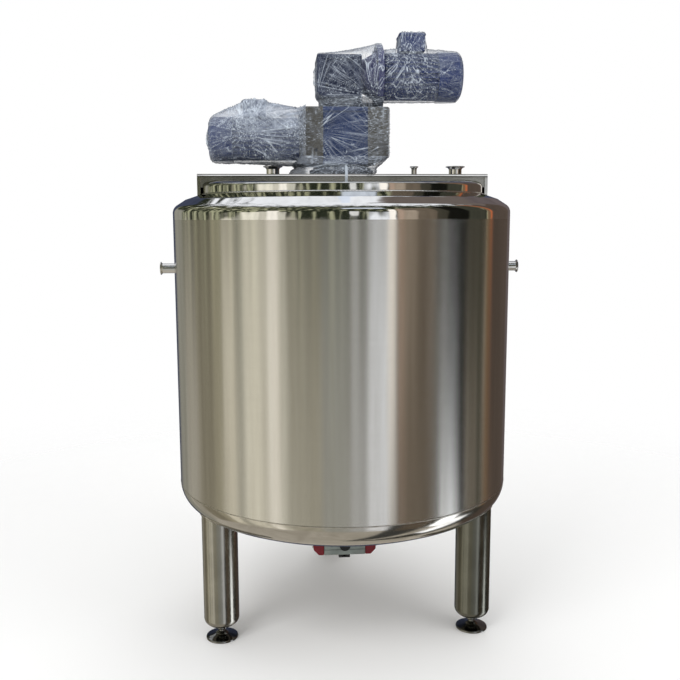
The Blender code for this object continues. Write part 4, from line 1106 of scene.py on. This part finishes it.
# Cards that stand round the tank and show in its polished steel only:
# azimuth from the front towards +X, half width, softness, low end, top (all degrees), colour
CARDS = (
    (-152, 15, 6, -40, 8, (0.33, 0.32, 0.27)),
    (-128, 5, 4, -40, -3, (0.46, 0.43, 0.36)),
    (-109, 10, 5, -40, -3, (0.30, 0.27, 0.20)),
    (-95, 4, 4, -40, -2, (0.46, 0.42, 0.31)),
    (-84.5, 5, 2, -40, -1, (0.98, 0.92, 0.76)),
    (-75.5, 3.5, 2, -40, -2, (0.50, 0.48, 0.40)),
    (-65, 7, 3, -40, 2, (1.02, 0.97, 0.82)),
    (-56, 2.5, 2, -40, 4, (0.72, 0.68, 0.57)),
    (-49.5, 4, 2, -40, 12, (1.22, 1.16, 1.04)),
    (-43, 3, 2, -40, 3, (0.76, 0.73, 0.62)),
    (-36, 4.5, 3, -40, -2, (0.52, 0.49, 0.40)),
    (-24, 8, 4, -40, -4, (0.50, 0.47, 0.38)),
    (-8, 9, 4, -40, -4, (0.48, 0.48, 0.44)),
    (7, 6, 3, -40, -4, (0.54, 0.54, 0.53)),
    (22, 9, 4, -40, 0, (1.05, 1.07, 1.12)),
    (28, 2.5, 1.5, -16, 22, (1.35, 1.27, 1.17)),
    (35, 3, 2, -45, 28, (0.46, 0.34, 0.26)),
    (45, 17, 6, -90, -21, (0.07, 0.07, 0.065)),
    (50, 12, 6, -45, 34, (0.17, 0.135, 0.10)),
    (41, 4, 3, -2, 14, (0.44, 0.36, 0.28)),
    (65, 5, 3, -45, 38, (0.06, 0.055, 0.04)),
    (78, 9, 3, -45, 42, (0.008, 0.008, 0.006)),
    (96, 9, 4, -45, 40, (0.055, 0.055, 0.040)),
    (111, 4, 2, -45, 44, (0.22, 0.14, 0.08)),
    (113, 1.6, 1, 0, 40, (0.60, 0.16, 0.06)),
    (132, 18, 4, -45, 38, (0.10, 0.075, 0.060)),
    (98, 17, 4, -90, -26, (0.05, 0.048, 0.04)),
    (76, 8, 3, -44, -26, (3.1, 3.2, 3.35)),
    (91, 10, 3, -60, -34, (1.95, 2.0, 2.1)),
    (93, 6, 4, -24, -13, (0.30, 0.26, 0.21)),
    (141, 15, 3, 30, 66, (0.17, 0.14, 0.125)),
    (156, 10, 4, -45, 32, (0.14, 0.115, 0.115)),
    (176, 14, 4, -45, 41, (0.055, 0.065, 0.105)),
    (-166, 9, 4, -45, 24, (0.055, 0.065, 0.105)),
    (173.5, 2.8, 1.5, 26, 70, (0.90, 0.97, 1.12)),
    (11, 15, 4, 34, 42, (0.85, 0.92, 1.05)),
    (4, 2.5, 1, 1.2, 5, (0.90, 0.90, 0.88)),
)
GROUND = (0.56, 0.52, 0.45)
LEAVES_DARK = (0.025, 0.030, 0.018)
LEAVES_PALE = (0.46, 0.46, 0.30)
SKY = (1.05, 1.07, 1.12)
PALE_LIGHT = (0.80, 0.80, 0.80)
WHITE = (1.0, 1.0, 1.0)
LEAF_GRAIN = (15.0, 15.0, 2.2)
CARD_TOP_EDGE = 4
CARD_LOW_EDGE = 1


def height(degrees):
    """Z of a direction of length 1 that rises by so many degrees."""
    return math.sin(math.radians(degrees))


def world():
    """White for the camera, pale and even as a light, and in polished steel a yard: ground, leaves and sky, with the
    cards in front of them."""
    scene_world = bpy.data.worlds.new("studio")
    bpy.context.scene.world = scene_world
    scene_world.use_nodes = True
    graph = Graph(scene_world.node_tree)
    direction = graph.add("TexCoord").outputs["Generated"]
    parts = graph.split(direction)
    rise = parts["Z"]
    level = graph.add("CombineXYZ", (("X", parts["X"]), ("Y", parts["Y"]))).outputs["Vector"]
    level = graph.vector_math("NORMALIZE", level)
    wobble = graph.math("MULTIPLY_ADD", graph.noise(direction, 9.0, 5.0), 0.16, -0.08)
    uneven = graph.math("ADD", rise, wobble)
    streaks = graph.noise(graph.vector_math("MULTIPLY", direction, LEAF_GRAIN), 1.0, 6.0, roughness=0.62)
    sparse = graph.math("ADD", streaks, graph.step(parts["X"], -0.85, -0.45, 0.0, -0.07))
    leaves = graph.blend(graph.step(sparse, 0.44, 0.60), LEAVES_DARK, LEAVES_PALE)
    canopy = graph.math("MULTIPLY_ADD", graph.math("ADD", streaks, -0.55), 1.2, uneven)
    canopy = graph.math("MULTIPLY_ADD", parts["Y"], 0.28, canopy)
    colour = graph.blend(graph.step(canopy, height(44), height(56)), leaves, SKY)
    colour = graph.blend(graph.step(rise, height(-8), height(-1), 1.0, 0.0), colour, GROUND)
    for azimuth, half_width, softness, bottom, top, tint in CARDS:
        angle = math.radians(azimuth)
        middle = (math.sin(angle), -math.cos(angle), 0.0)
        nearness = graph.vector_math("DOT_PRODUCT", level, middle, output="Value")
        outer = math.cos(math.radians(half_width + softness / 2))
        inner = math.cos(math.radians(max(0.1, half_width - softness / 2)))
        share = graph.step(nearness, outer, inner)
        above = graph.step(uneven, height(top), height(top + CARD_TOP_EDGE), 1.0, 0.0)
        below = graph.step(rise, height(bottom - CARD_LOW_EDGE), height(bottom)) if bottom > -90 else 1.0
        share = graph.math("MULTIPLY", graph.math("MULTIPLY", share, above), below)
        colour = graph.blend(share, colour, tint)
    shade = graph.step(streaks, 0.3, 0.7, 0.86, 1.14, smooth=False)
    scaled = graph.add("VectorMath", ((0, colour), ("Scale", shade)), operation="SCALE").outputs["Vector"]
    ray = graph.add("LightPath").outputs
    colour = graph.blend(ray["Is Glossy Ray"], PALE_LIGHT, scaled)
    colour = graph.blend(ray["Is Camera Ray"], colour, WHITE)
    graph.feed(graph.nodes["Background"].inputs["Color"], colour)


def lamps():
    for name, place, size, power in (
        ("key", (-2.6, -3.2, 4.2), 2.4, 95.0),
        ("fill", (3.2, -2.2, 3.4), 2.6, 40.0),
        ("rim", (0.6, 3.4, 3.6), 2.4, 45.0),
    ):
        data = bpy.data.lights.new(name, "AREA")
        data.size = size
        data.energy = power
        item = bpy.data.objects.new(name, data)
        item.location = place
        item.rotation_euler = (Vector(place) - Vector((0, 0, 1.1))).to_track_quat("Z", "Y").to_euler()
        item.visible_glossy = False
        bpy.context.scene.collection.objects.link(item)


camera()
tank_shells()
lids()
welds()
legs()
feet()
ferrules()
bridge_plate()
solids()
all_bolts()
wrap_motors()
tie_strip()
floor()
world()
lamps()
bpy.context.scene.view_settings.view_transform = "Standard"
bpy.context.view_layer.update()
